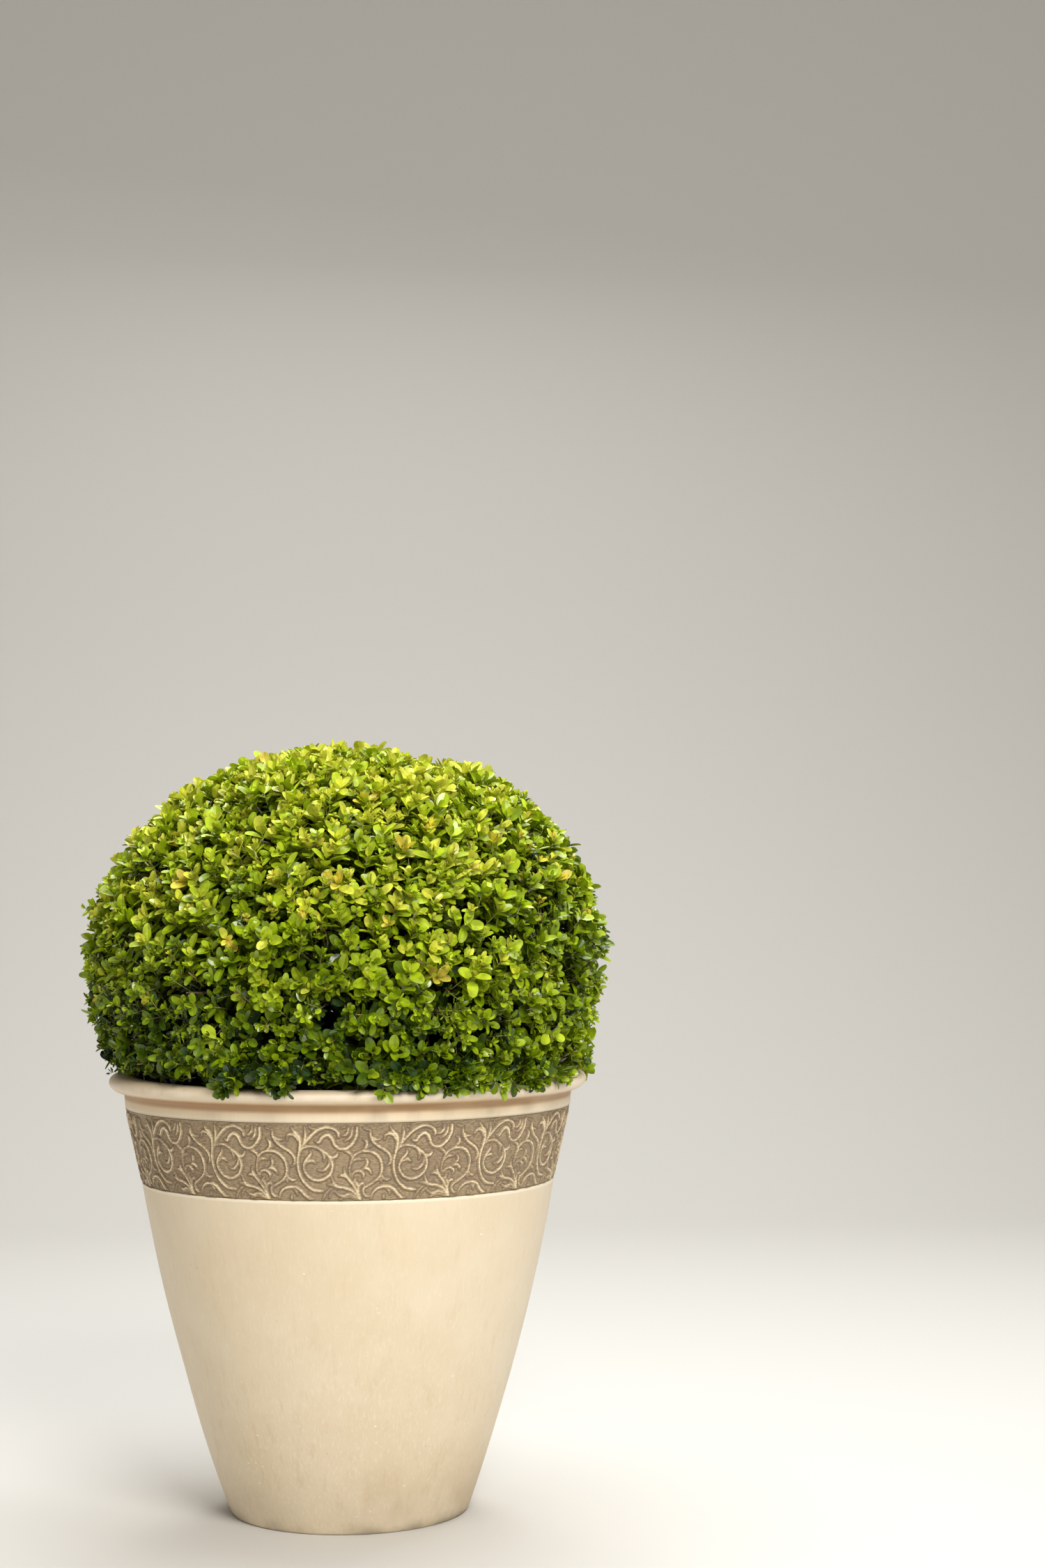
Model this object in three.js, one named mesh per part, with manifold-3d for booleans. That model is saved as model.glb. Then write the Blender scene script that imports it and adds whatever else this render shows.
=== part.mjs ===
// A clipped boxwood in a tapered planter with a rolled rim and an inlaid scroll band.
// Millimetres, +Z up. The origin is the middle of the flat underside, and -Y is the front.

import * as THREE from 'three';
import { mergeVertices } from 'three/addons/utils/BufferGeometryUtils.js';
import Module from 'manifold-3d';

const wasm = await Module();
wasm.setup();

// Driving dimensions of the planter
const RIM_RADIUS = 280; // the rolled rim at its widest
const RIM_WIDEST = 503.5; // height of that widest line
const BEAD_HALF_WIDTH = 17;
const BEAD_RISE = 11; // the bead's top above its widest line
const BEAD_DROP = 18.5; // its underside below that line
const NECK_FOOT_RADIUS = 261;
const BAND_TOP = 471;
const BAND_FOOT = 385;
const BAND_FOOT_RADIUS = 241.5;
const FOOT_RADIUS = 138.5;
const FOOT_ROUNDING = 3;
const WALL_BULGE = 9; // how far the plain wall bows out of a straight cone
const WALL_THICKNESS = 14;
const FLOOR_THICKNESS = 16;
const DRAIN_RADIUS = 9;
const DRAIN_CIRCLE = 62;
const DRAIN_COUNT = 3;

// The band is a ring let into a recess, its face a little below the wall's
const RECESS_DEPTH = 6.5;
const BAND_SINK = 1;
const GAP = 0.3; // clearance between neighbouring solids

// Soil and trunk
const SOIL_EDGE = 464;
const SOIL_CROWN = 473; // the soil stands a little higher round the trunk
const SOIL_PAD_RADIUS = 48;
const TRUNK_HEIGHT = 56;
const TRUNK_FOOT_RADIUS = 20;
const TRUNK_TIP_RADIUS = 15;
const FLARE_WIDTH = 13;
const FLARE_LOBES = 5;
const TRUNK_LEAN = new THREE.Vector2(4, -3); // sideways travel from foot to tip

// The clipped crown: a broad dome, fullest just above the rim
const CROWN_CENTRE = 640;
const CROWN_RADIUS = 310;
const CROWN_RISE = 253;
const CROWN_DROP = 312;

// The lowest that foliage comes: inside the mouth, over the rim, and hanging outside it
const SKIRT = { mouthRadius: 230, mouth: 484, over: 519, rimRadius: RIM_RADIUS + 4, outside: 494 };

// Soft swellings where the shears left the dome fuller, as [x, y, z, share of the radius]
const SWELLINGS = [
  [0.62, -0.1, 0.78, 0.03],
  [-0.97, -0.1, 0.18, 0.018],
  [-0.25, -0.3, 0.92, 0.01],
  [0.95, -0.25, 0.0, 0.012],
  [0.1, 0.95, 0.3, 0.018],
  [-0.6, 0.6, 0.5, -0.015],
];
const SWELLING_SPREAD = 9;

// The leafless middle of the crown, and the radius and height of its hollowed underside
const CORE_SHARE = 0.885;
const CORE_SEGMENTS = 24;
const CORE_RINGS = 9;
const CORE_LOWEST_LOOK = -0.4; // sine of its lowest ring's direction from the centre
const CORE_UNDERSIDE = [[55, 556], [105, 534], [150, 507], [200, 497], [230, 500], [240, 520]];
const STEM_HEAD = 585;

// Each shell of limbs branches from the nearest tips of the shell inside it
const SHELLS = [
  { count: 12, share: 0.42, radius: 9 },
  { count: 38, share: 0.7, radius: 6 },
  { count: 96, share: 0.955, radius: 3.4 },
];
const LOWEST_LOOK = -0.43;
const TIP_WANDER = 0.13;
const SEED = 20417;

// A sprig is the three-sided end of a limb, with three leaves round each of its two whorls
const WHORLS = [
  { back: 27, length: 5, lean: 1.28, size: 1 }, // distance back from the tip, and leaf lean
  { back: 10, length: 5, lean: 0.72, size: 0.9 },
];
const SPRIG_TWIST = -Math.PI / 3; // from one whorl to the next
const LEAF_LENGTH = 52;
const LEAF_WIDTH = 35;
const LEAF_RIDGE = 2.6;
const LEAF_SIZES = [1.05, 0.9, 0.75, 0.6]; // tried in turn until the leaf fits the outline
const SHORTEST_EDGE = 0.2;

const POT_SEGMENTS = 56;
const WALL_STEPS = 6;
const BEAD_STEPS = 11;
const GOLDEN_ANGLE = Math.PI * (3 - Math.sqrt(5));

const finishes = {
  planter: new THREE.MeshStandardMaterial({ color: 0xe2cba2, roughness: 0.5, metalness: 0 }),
  band: new THREE.MeshStandardMaterial({ color: 0x94805e, roughness: 0.6, metalness: 0 }),
  soil: new THREE.MeshStandardMaterial({ color: 0x3a2c20, roughness: 0.95, metalness: 0 }),
  bark: new THREE.MeshStandardMaterial({ color: 0x8d7a60, roughness: 0.9, metalness: 0 }),
  leaves: new THREE.MeshStandardMaterial({ color: 0x76a222, roughness: 0.4, metalness: 0 }),
};

// The planter's outer radius at a height: a bowed wall up to the band, a straight one above it.
function outerRadius(z) {
  if (z >= BAND_FOOT) {
    const share = (z - BAND_FOOT) / (BAND_TOP - BAND_FOOT);
    return BAND_FOOT_RADIUS + (NECK_FOOT_RADIUS - BAND_FOOT_RADIUS) * Math.min(share, 1);
  }
  const share = z / BAND_FOOT;
  const cone = FOOT_RADIUS + (BAND_FOOT_RADIUS - FOOT_RADIUS) * share;
  return cone + 4 * WALL_BULGE * share * (1 - share);
}

const innerRadius = (z) => outerRadius(z) - WALL_THICKNESS;

// Points of a wall between two heights, at a radius given by a function of height.
function wallPoints(radiusAt, from, to, steps) {
  return Array.from({ length: steps + 1 }, (_, i) => {
    const z = THREE.MathUtils.lerp(from, to, i / steps);
    return new THREE.Vector2(radiusAt(z), z);
  });
}

// The rolled rim: an ellipse from the neck's outside, over the top, to the inner wall.
function beadPoints() {
  const middle = RIM_RADIUS - BEAD_HALF_WIDTH;
  return Array.from({ length: BEAD_STEPS + 1 }, (_, i) => {
    const angle = THREE.MathUtils.lerp(-0.5 * Math.PI, Math.PI, i / BEAD_STEPS);
    const rise = Math.sin(angle) > 0 ? BEAD_RISE : BEAD_DROP;
    return new THREE.Vector2(
      middle + BEAD_HALF_WIDTH * Math.cos(angle),
      RIM_WIDEST + rise * Math.sin(angle),
    );
  });
}

// A profile of (radius, height) points turned about +Z.
function turned(points, segments) {
  return new THREE.LatheGeometry(points, segments).rotateX(Math.PI / 2);
}

// A geometry as a solid, with only its shared positions kept.
function solidOf(geometry) {
  const bare = geometry.clone();
  bare.deleteAttribute('normal');
  bare.deleteAttribute('uv');
  const merged = mergeVertices(bare, 1e-3);
  return new wasm.Manifold(new wasm.Mesh({
    numProp: 3,
    vertProperties: merged.attributes.position.array,
    triVerts: new Uint32Array(merged.index.array),
  }));
}

function geometryOf(solid) {
  const mesh = solid.getMesh();
  return new THREE.BufferGeometry()
    .setAttribute('position', new THREE.BufferAttribute(mesh.vertProperties, 3))
    .setIndex(new THREE.BufferAttribute(mesh.triVerts, 1));
}

// The largest body of a solid, once its corners are rounded as in a mesh.
function largestBody(solid) {
  const bodies = solidOf(geometryOf(solid)).decompose();
  return bodies.sort((a, b) => b.volume() - a.volume())[0];
}

function named(name, geometry, finish) {
  const mesh = new THREE.Mesh(geometry, finish);
  mesh.name = name;
  return mesh;
}

// The planter: a hollow turned shell with a recess for the band and drain holes in its floor.
function planter() {
  const recess = (z) => outerRadius(z) - RECESS_DEPTH;
  const profile = [
    new THREE.Vector2(0, 0),
    new THREE.Vector2(FOOT_RADIUS - FOOT_ROUNDING, 0),
    ...wallPoints(outerRadius, FOOT_ROUNDING, BAND_FOOT, WALL_STEPS),
    ...wallPoints(recess, BAND_FOOT, BAND_TOP, 2),
    new THREE.Vector2(NECK_FOOT_RADIUS, BAND_TOP),
    ...beadPoints(),
    ...wallPoints(innerRadius, BAND_TOP, BAND_FOOT, 1),
    ...wallPoints(innerRadius, BAND_FOOT, FLOOR_THICKNESS, WALL_STEPS).slice(1),
    new THREE.Vector2(0, FLOOR_THICKNESS),
  ];
  let shell = solidOf(turned(profile, POT_SEGMENTS));
  const drill = new THREE.CylinderGeometry(DRAIN_RADIUS, DRAIN_RADIUS, 3 * FLOOR_THICKNESS, 20);
  drill.rotateX(Math.PI / 2);
  for (let i = 0; i < DRAIN_COUNT; i++) {
    const angle = (2 * Math.PI * (i + 0.5)) / DRAIN_COUNT;
    const [x, y] = [DRAIN_CIRCLE * Math.cos(angle), DRAIN_CIRCLE * Math.sin(angle)];
    shell = shell.subtract(solidOf(drill.clone().translate(x, y, 0)));
  }
  return named('planter', geometryOf(shell), finishes.planter);
}

// The inlaid band, one closed ring clear of its recess all round.
function scrollBand() {
  const face = (z) => outerRadius(z) - BAND_SINK;
  const back = (z) => outerRadius(z) - RECESS_DEPTH + GAP;
  const [low, high] = [BAND_FOOT + GAP, BAND_TOP - GAP];
  const profile = [
    ...wallPoints(face, low, high, 2),
    ...wallPoints(back, high, low, 2),
    new THREE.Vector2(face(low), low),
  ];
  return named('scroll_band', turned(profile, POT_SEGMENTS), finishes.band);
}

// The soil fills the planter and stands a little higher round the trunk.
function soil() {
  const side = (z) => innerRadius(z) - GAP;
  const floor = FLOOR_THICKNESS + GAP;
  const profile = [
    new THREE.Vector2(0, floor),
    ...wallPoints(side, floor, BAND_FOOT, WALL_STEPS),
    new THREE.Vector2(side(SOIL_EDGE), SOIL_EDGE),
    new THREE.Vector2(0.5 * side(SOIL_EDGE), THREE.MathUtils.lerp(SOIL_EDGE, SOIL_CROWN, 0.6)),
    new THREE.Vector2(SOIL_PAD_RADIUS, SOIL_CROWN),
    new THREE.Vector2(0, SOIL_CROWN),
  ];
  return named('soil', turned(profile, POT_SEGMENTS / 2), finishes.soil);
}

// A closed tube through rings of points, all with as many points, capped at both ends.
function loft(rings) {
  const sides = rings[0].length;
  const points = [...rings.flat(), centreOf(rings[0]), centreOf(rings.at(-1))];
  const faces = [];
  for (let r = 0; r + 1 < rings.length; r++) {
    for (let s = 0; s < sides; s++) {
      const [a, b] = [r * sides + s, r * sides + ((s + 1) % sides)];
      faces.push(a, b, b + sides, a, b + sides, a + sides);
    }
  }
  const [foot, tip, top] = [points.length - 2, points.length - 1, (rings.length - 1) * sides];
  for (let s = 0; s < sides; s++) {
    const next = (s + 1) % sides;
    faces.push(foot, next, s, tip, top + s, top + next);
  }
  return indexed(points, faces);
}

const centreOf = (ring) => ring
  .reduce((sum, p) => sum.add(p), new THREE.Vector3())
  .divideScalar(ring.length);

function indexed(points, faces) {
  return new THREE.BufferGeometry().setFromPoints(points).setIndex(faces);
}

// The trunk's middle line leans as it rises, and its girth tapers from lobed root flares.
function trunkMiddle(height) {
  const share = height / TRUNK_HEIGHT;
  return new THREE.Vector3(TRUNK_LEAN.x * share, TRUNK_LEAN.y * share, SOIL_CROWN + GAP + height);
}

function trunk() {
  const sides = 20;
  const heights = [0, 4, 9, 16, 28, TRUNK_HEIGHT];
  const rings = heights.map((height) => {
    const share = height / TRUNK_HEIGHT;
    const girth = THREE.MathUtils.lerp(TRUNK_FOOT_RADIUS, TRUNK_TIP_RADIUS, share);
    const flare = FLARE_WIDTH * (1 - share) ** 6;
    return Array.from({ length: sides }, (_, s) => {
      const angle = (2 * Math.PI * s) / sides;
      const radius = girth + flare * (0.6 + 0.4 * Math.cos(FLARE_LOBES * angle));
      const [x, y] = [radius * Math.cos(angle), radius * Math.sin(angle)];
      return trunkMiddle(height).add(new THREE.Vector3(x, y, 0));
    });
  });
  return named('trunk', loft(rings), finishes.bark);
}

// How far the clipped outline lies from the crown's centre along a direction.
function crownReach(look) {
  const rise = look.z > 0 ? CROWN_RISE : CROWN_DROP;
  const across = Math.hypot(look.x, look.y) / CROWN_RADIUS;
  const reach = 1 / Math.hypot(across, look.z / rise);
  const swell = SWELLINGS.reduce((sum, [x, y, z, share]) => {
    const facing = look.dot(new THREE.Vector3(x, y, z).normalize());
    return sum + share * Math.exp(-SWELLING_SPREAD * (1 - facing));
  }, 0);
  return reach * (1 + swell);
}

const crownCentre = new THREE.Vector3(0, 0, CROWN_CENTRE);
const outlinePoint = (look, share) => look
  .clone()
  .multiplyScalar(share * crownReach(look))
  .add(crownCentre);

// True where a leaf may be: inside the outline, and clear of the planter and its rim.
function inCrownSpace(point) {
  const look = point.clone().sub(crownCentre);
  if (look.length() > crownReach(look.clone().normalize())) return false;
  const radius = Math.hypot(point.x, point.y);
  if (radius < SKIRT.mouthRadius) return point.z > SKIRT.mouth;
  return point.z > (radius > SKIRT.rimRadius ? SKIRT.outside : SKIRT.over);
}

// A repeatable stream of numbers from 0 to 1.
function seeded(seed) {
  let state = seed;
  return () => {
    state = (state + 0x6d2b79f5) | 0;
    let mixed = Math.imul(state ^ (state >>> 15), 1 | state);
    mixed = (mixed + Math.imul(mixed ^ (mixed >>> 7), 61 | mixed)) ^ mixed;
    return ((mixed ^ (mixed >>> 14)) >>> 0) / 4294967296;
  };
}

// The unit direction at a height (its sine) and an angle round the trunk.
function lookAt(sine, angle) {
  const across = Math.sqrt(1 - sine * sine);
  return new THREE.Vector3(across * Math.cos(angle), across * Math.sin(angle), sine);
}

// The core keeps the outline at a smaller scale. Its underside is hollow round the trunk,
// dips into the planter's mouth and steps up over the rim.
function crownCore() {
  const angles = Array.from({ length: CORE_SEGMENTS }, (_, s) => (2 * Math.PI * s) / CORE_SEGMENTS);
  const underside = CORE_UNDERSIDE.map(([radius, z]) => angles.map(
    (angle) => new THREE.Vector3(radius * Math.cos(angle), radius * Math.sin(angle), z),
  ));
  const dome = Array.from({ length: CORE_RINGS + 1 }, (_, r) => {
    const sine = THREE.MathUtils.lerp(CORE_LOWEST_LOOK, 0.985, r / CORE_RINGS);
    return angles.map((angle) => outlinePoint(lookAt(sine, angle), CORE_SHARE));
  });
  for (const point of dome[0]) point.z = CORE_UNDERSIDE.at(-1)[1];
  return loft([...underside, ...dome]);
}

// A ring of points round a place, square to a direction.
function ringRound(middle, along, radius, sides, turn = 0) {
  const side = new THREE.Vector3(along.y, along.z, along.x).cross(along).normalize();
  const other = along.clone().cross(side);
  return Array.from({ length: sides }, (_, s) => {
    const angle = turn + (2 * Math.PI * s) / sides;
    return middle.clone()
      .addScaledVector(side, radius * Math.cos(angle))
      .addScaledVector(other, radius * Math.sin(angle));
  });
}

// A tapering stick between two points.
function stick(from, to, footRadius, tipRadius, sides) {
  const along = to.clone().sub(from).normalize();
  return loft([ringRound(from, along, footRadius, sides), ringRound(to, along, tipRadius, sides)]);
}

// The crown's own stem meets the trunk's tip and runs up into the core.
const stemFoot = trunkMiddle(TRUNK_HEIGHT + GAP);
const stemHead = new THREE.Vector3(stemFoot.x, stemFoot.y, STEM_HEAD);

// The tips of one shell, spread evenly over the dome by the golden angle, each a little off.
function shellTips({ count, share }, random) {
  const wander = () => TIP_WANDER * (random() - 0.5);
  return Array.from({ length: count }, (_, n) => {
    const look = lookAt(THREE.MathUtils.lerp(LOWEST_LOOK, 1, (n + 0.5) / count), n * GOLDEN_ANGLE);
    look.add(new THREE.Vector3(wander(), wander(), wander())).normalize();
    return outlinePoint(look, share - 0.03 * random());
  });
}

const nearest = (point, others) => others
  .reduce((best, other) => (other.distanceTo(point) < best.distanceTo(point) ? other : best));

// A leaf as the corners beyond its foot: left edge, right edge, ridge and tip.
function leafPoints(foot, along, outward, lean, size) {
  const forward = along.clone().multiplyScalar(Math.cos(lean))
    .addScaledVector(outward, Math.sin(lean));
  const across = along.clone().cross(outward);
  const up = forward.clone().cross(across);
  const at = (f, a, u) => foot.clone()
    .addScaledVector(forward, f * LEAF_LENGTH * size)
    .addScaledVector(across, a * LEAF_WIDTH * size)
    .addScaledVector(up, u * LEAF_RIDGE * size);
  return [at(0.57, -0.5, -0.4), at(0.57, 0.5, -0.4), at(0.52, 0, 1), at(1, 0, -0.3)];
}

// The leaf's ten faces on a side of the twig, whose corners a, b, c, d run round that side.
const leafFaces = (a, b, c, d, [left, right, ridge, tip]) => [
  a, right, left, a, b, right, left, right, tip, b, c, right, a, left, d,
  c, ridge, right, c, d, ridge, d, left, ridge, right, ridge, tip, ridge, left, tip,
];

// One closed sprig: a three-sided twig with its leaves drawn out of its sides.
function sprig(root, tip, radius, random) {
  const sides = 3;
  const length = tip.distanceTo(root);
  const along = tip.clone().sub(root).normalize();
  const start = 2 * Math.PI * random();
  const points = [];
  const faces = [0, 2, 1];
  const rings = [{ back: length, turn: start }];
  WHORLS.forEach(({ back, length: reach }, w) => {
    const turn = start + w * SPRIG_TWIST;
    rings.push({ back, turn, whorl: w }, { back: back - reach, turn });
  });
  for (const { back, turn } of rings) {
    points.push(...ringRound(tip.clone().addScaledVector(along, -back), along, radius, sides, turn));
  }
  rings.slice(0, -1).forEach(({ back, turn, whorl }, r) => {
    for (let s = 0; s < sides; s++) {
      const [a, b] = [r * sides + s, r * sides + ((s + 1) % sides)];
      const [c, d] = [b + sides, a + sides];
      const leaf = whorl !== undefined && leafOn(tip, along, back, turn, s, WHORLS[whorl], random);
      if (!leaf) {
        faces.push(a, b, c, a, c, d);
      } else {
        faces.push(...leafFaces(a, b, c, d, leaf.map((p) => points.push(p) - 1)));
      }
    }
  });
  const last = (rings.length - 1) * sides;
  const bud = points.push(tip.clone()) - 1;
  for (let s = 0; s < sides; s++) faces.push(last + s, last + ((s + 1) % sides), bud);
  return indexed(points, faces);
}

// The largest leaf that fits the crown's space on one side of a twig, or nothing.
function leafOn(tip, along, back, turn, s, whorl, random) {
  const middle = turn + (2 * Math.PI * (s + 0.5)) / 3;
  const outward = ringRound(new THREE.Vector3(), along, 1, 1, middle)[0];
  const foot = tip.clone().addScaledVector(along, whorl.length / 2 - back);
  const lean = whorl.lean + 0.3 * (random() - 0.5);
  const full = whorl.size * (0.9 + 0.2 * random());
  return LEAF_SIZES.map((size) => leafPoints(foot, along, outward, lean, size * full))
    .find((leaf) => leaf.every(inCrownSpace)
      && leaf.every((corner) => inCrownSpace(corner.clone().lerp(foot, 0.5))));
}

// The whole crown: limbs branch shell by shell from the stem, and the last shell bears leaves.
function crown() {
  const random = seeded(SEED);
  const solids = [
    crownCore(),
    stick(stemFoot, stemHead, TRUNK_TIP_RADIUS - 0.5, TRUNK_TIP_RADIUS - 2, 10),
  ];
  let forks = [stemHead];
  SHELLS.forEach((shell, level) => {
    const tips = shellTips(shell, random);
    for (const tip of tips) {
      const fork = nearest(tip, forks);
      if (level < SHELLS.length - 1) {
        solids.push(stick(fork, tip, shell.radius, 0.7 * shell.radius, 5));
      } else if (inCrownSpace(tip)) {
        solids.push(sprig(fork, tip, shell.radius, random));
      }
    }
    forks = tips;
  });
  const whole = wasm.Manifold.union(solids.map(solidOf)).simplify(SHORTEST_EDGE);
  return named('clipped_crown', geometryOf(largestBody(largestBody(whole))), finishes.leaves);
}

const boxwood = new THREE.Group();
boxwood.add(planter(), scrollBand(), soil(), trunk(), crown());

export default boxwood;
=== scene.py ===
"""A clipped boxwood dome in a cream planter with a brushed scroll band.

Sizes are in millimetres and the finished meshes in metres. The front of the planter faces -Y.
"""

import bpy
import numpy as np
from mathutils import Matrix, Vector


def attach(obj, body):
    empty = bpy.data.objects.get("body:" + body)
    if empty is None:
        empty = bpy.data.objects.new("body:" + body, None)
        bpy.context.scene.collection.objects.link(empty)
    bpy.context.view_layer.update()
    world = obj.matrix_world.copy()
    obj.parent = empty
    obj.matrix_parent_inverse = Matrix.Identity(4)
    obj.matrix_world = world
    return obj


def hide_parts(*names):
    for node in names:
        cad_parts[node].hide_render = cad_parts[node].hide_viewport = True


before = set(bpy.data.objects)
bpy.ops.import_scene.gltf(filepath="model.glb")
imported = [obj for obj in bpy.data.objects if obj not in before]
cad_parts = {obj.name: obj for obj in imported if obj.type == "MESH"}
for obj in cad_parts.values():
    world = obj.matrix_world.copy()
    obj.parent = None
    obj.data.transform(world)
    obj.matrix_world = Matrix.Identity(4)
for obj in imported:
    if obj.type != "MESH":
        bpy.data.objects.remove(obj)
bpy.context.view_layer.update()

MM = 0.001
GOLDEN_ANGLE = np.pi * (3 - np.sqrt(5))

# The planter
BAND_FOOT, BAND_TOP = 385.0, 471.0
BAND_FOOT_RADIUS, NECK_RADIUS = 241.5, 261.0
FOOT_RADIUS, FOOT_ROUNDING, WALL_BULGE = 138.5, 4.0, 9.0
WALL_THICKNESS, FLOOR_THICKNESS = 14.0, 16.0
RECESS_DEPTH, GAP = 6.5, 0.3
RIM_RADIUS, RIM_WIDEST, RIM_TOP, NECK_TOP = 280.0, 501.0, 508.5, 489.5
ROLL_UNDER, ROLL_OVER = 262.6, 268.0  # where the arcs under and over the rim's roll are centred
LIP_RADIUS, LIP_ROUNDING = 256.0, 9.0
INSIDE_TAPER = 0.2267  # how much the inner wall narrows for each mm below the band's top
DRAIN_RADIUS, DRAIN_CIRCLE, DRAIN_COUNT = 9.0, 62.0, 3

# The scroll band's relief
BAND_REPEATS, BAND_SECTORS = 15, 5
BAND_START = -14.7  # degrees from the front to the start of one repeat
BAND_RADIUS = 251.0  # for the patterns that run round the band
TILE_WIDTH, TILE_HEIGHT = 106.5, 84.5
GROUND_SINK = 2.1  # the relief's ground lies this far below the wall
RELIEF_RISE = 2.7

# Soil and trunk
SOIL_EDGE, SOIL_CROWN, SOIL_SLOPE = 464.0, 472.5, 150.0
CRUMBS, CRUMBS_RADIUS, CRUMB_LIFT = 520, 232.0, 1.6
CRUMBS_EDGE = 246.0  # the radius where the slope under the crumbs starts
TRUNK_FOOT, TRUNK_HEIGHT = 473.3, 56.0
TRUNK_FOOT_RADIUS, TRUNK_TIP_RADIUS = 20.0, 15.0
TRUNK_LEAN = np.array([4.0, -3.0])
STEM_HEAD = 585.0

# The crown's clipped outline, and the limbs of the part's own source. A swelling has a direction
# and what it adds to the reach there. A shell has the number of its limbs, its share of the reach
# and the radius of its limbs at the root.
CROWN_CENTRE = np.array([0.0, 0.0, 640.0])
CROWN_RADIUS, CROWN_RISE, CROWN_DROP = 310.0, 253.0, 312.0
LOWEST_LOOK, TIP_WANDER, SEED = -0.43, 0.13, 20417
SWELLINGS = np.array([
    [0.62, -0.1, 0.78, 0.03],
    [-0.97, -0.1, 0.18, 0.018],
    [-0.25, -0.3, 0.92, 0.01],
    [0.95, -0.25, 0.0, 0.012],
    [0.1, 0.95, 0.3, 0.018],
    [-0.6, 0.6, 0.5, -0.015],
])
SHELLS = [(12, 0.42, 9.0), (38, 0.7, 6.0), (96, 0.955, 3.4)]


class Value:
    """One output of a shader node. Arithmetic and patterns on it add nodes to its finish."""

    def __init__(self, finish, link):
        self.finish, self.link = finish, link

    def _math(self, operation, *terms):
        return self.finish.node("ShaderNodeMath", {"operation": operation}, terms)

    def __add__(self, other):
        return self._math("ADD", self, other)

    def __sub__(self, other):
        return self._math("SUBTRACT", self, other)

    def __rsub__(self, other):
        return self._math("SUBTRACT", other, self)

    def __mul__(self, other):
        return self._math("MULTIPLY", self, other)

    __radd__, __rmul__ = __add__, __mul__

    def stretched(self, x, y, z):
        return self.finish.node("ShaderNodeVectorMath", {"operation": "MULTIPLY"},
                                [self, (x, y, z)])

    def noise(self, scale, detail=3.0, roughness=0.55):
        return self.finish.node("ShaderNodeTexNoise", {}, {
            "Vector": self, "Scale": scale, "Detail": detail, "Roughness": roughness})

    def ramp(self, low, high, to_low=0.0, to_high=1.0):
        """A smooth step from to_low to to_high as the value passes from low to high."""
        return self.finish.node("ShaderNodeMapRange", {"interpolation_type": "SMOOTHSTEP"}, {
            "Value": self, "From Min": low, "From Max": high, "To Min": to_low, "To Max": to_high})

    def zone(self, start, full, thin, end):
        """1 while the value lies from full to thin, and smoothly down to 0 at start and end."""
        return self.ramp(start, full) * self.ramp(thin, end, 1.0, 0.0)


class Finish:
    """A material whose nodes are made by one method, with helpers for colours and bumps."""

    def __init__(self, name):
        self.material = bpy.data.materials.new(name)
        self.material.use_nodes = True
        self.tree = self.material.node_tree
        self.shader = self.tree.nodes["Principled BSDF"]

    def node(self, kind, settings=(), sockets=(), output=0):
        """A node of a kind, its settings made first, then the values or links of its sockets."""
        node = self.tree.nodes.new(kind)
        for key, value in dict(settings).items():
            setattr(node, key, value)
        pairs = sockets.items() if isinstance(sockets, dict) else enumerate(sockets)
        for key, value in pairs:
            self.feed(node.inputs[key], value)
        return Value(self, node.outputs[output])

    def feed(self, socket, value):
        if isinstance(value, Value):
            self.tree.links.new(value.link, socket)
        else:
            socket.default_value = value

    def surface(self, **sockets):
        """Sets the shader's sockets, named in words with underscores for spaces."""
        for key, value in sockets.items():
            self.feed(self.shader.inputs[key.replace("_", " ")], value)
        return self.material

    def place(self):
        return self.node("ShaderNodeTexCoord", output="Object")

    def blend(self, factor, first, second):
        sockets = {0: factor, 6: first, 7: second}
        return self.node("ShaderNodeMix", {"data_type": "RGBA"}, sockets, 2)

    def coats(self, colour, layers):
        """A colour with layers laid over it in turn, each a mask and a screen colour."""
        for mask, coat in layers:
            colour = self.blend(mask, colour, rgb(*coat))
        return colour

    def bump(self, height, distance):
        return self.node("ShaderNodeBump", {}, {"Height": height, "Distance": distance})


def rgb(red, green, blue):
    """A linear colour from screen values of 0 to 255."""
    screen = np.array([red, green, blue]) / 255
    linear = np.where(screen <= 0.04045, screen / 12.92, ((screen + 0.055) / 1.055) ** 2.4)
    return (*linear.tolist(), 1.0)


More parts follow.
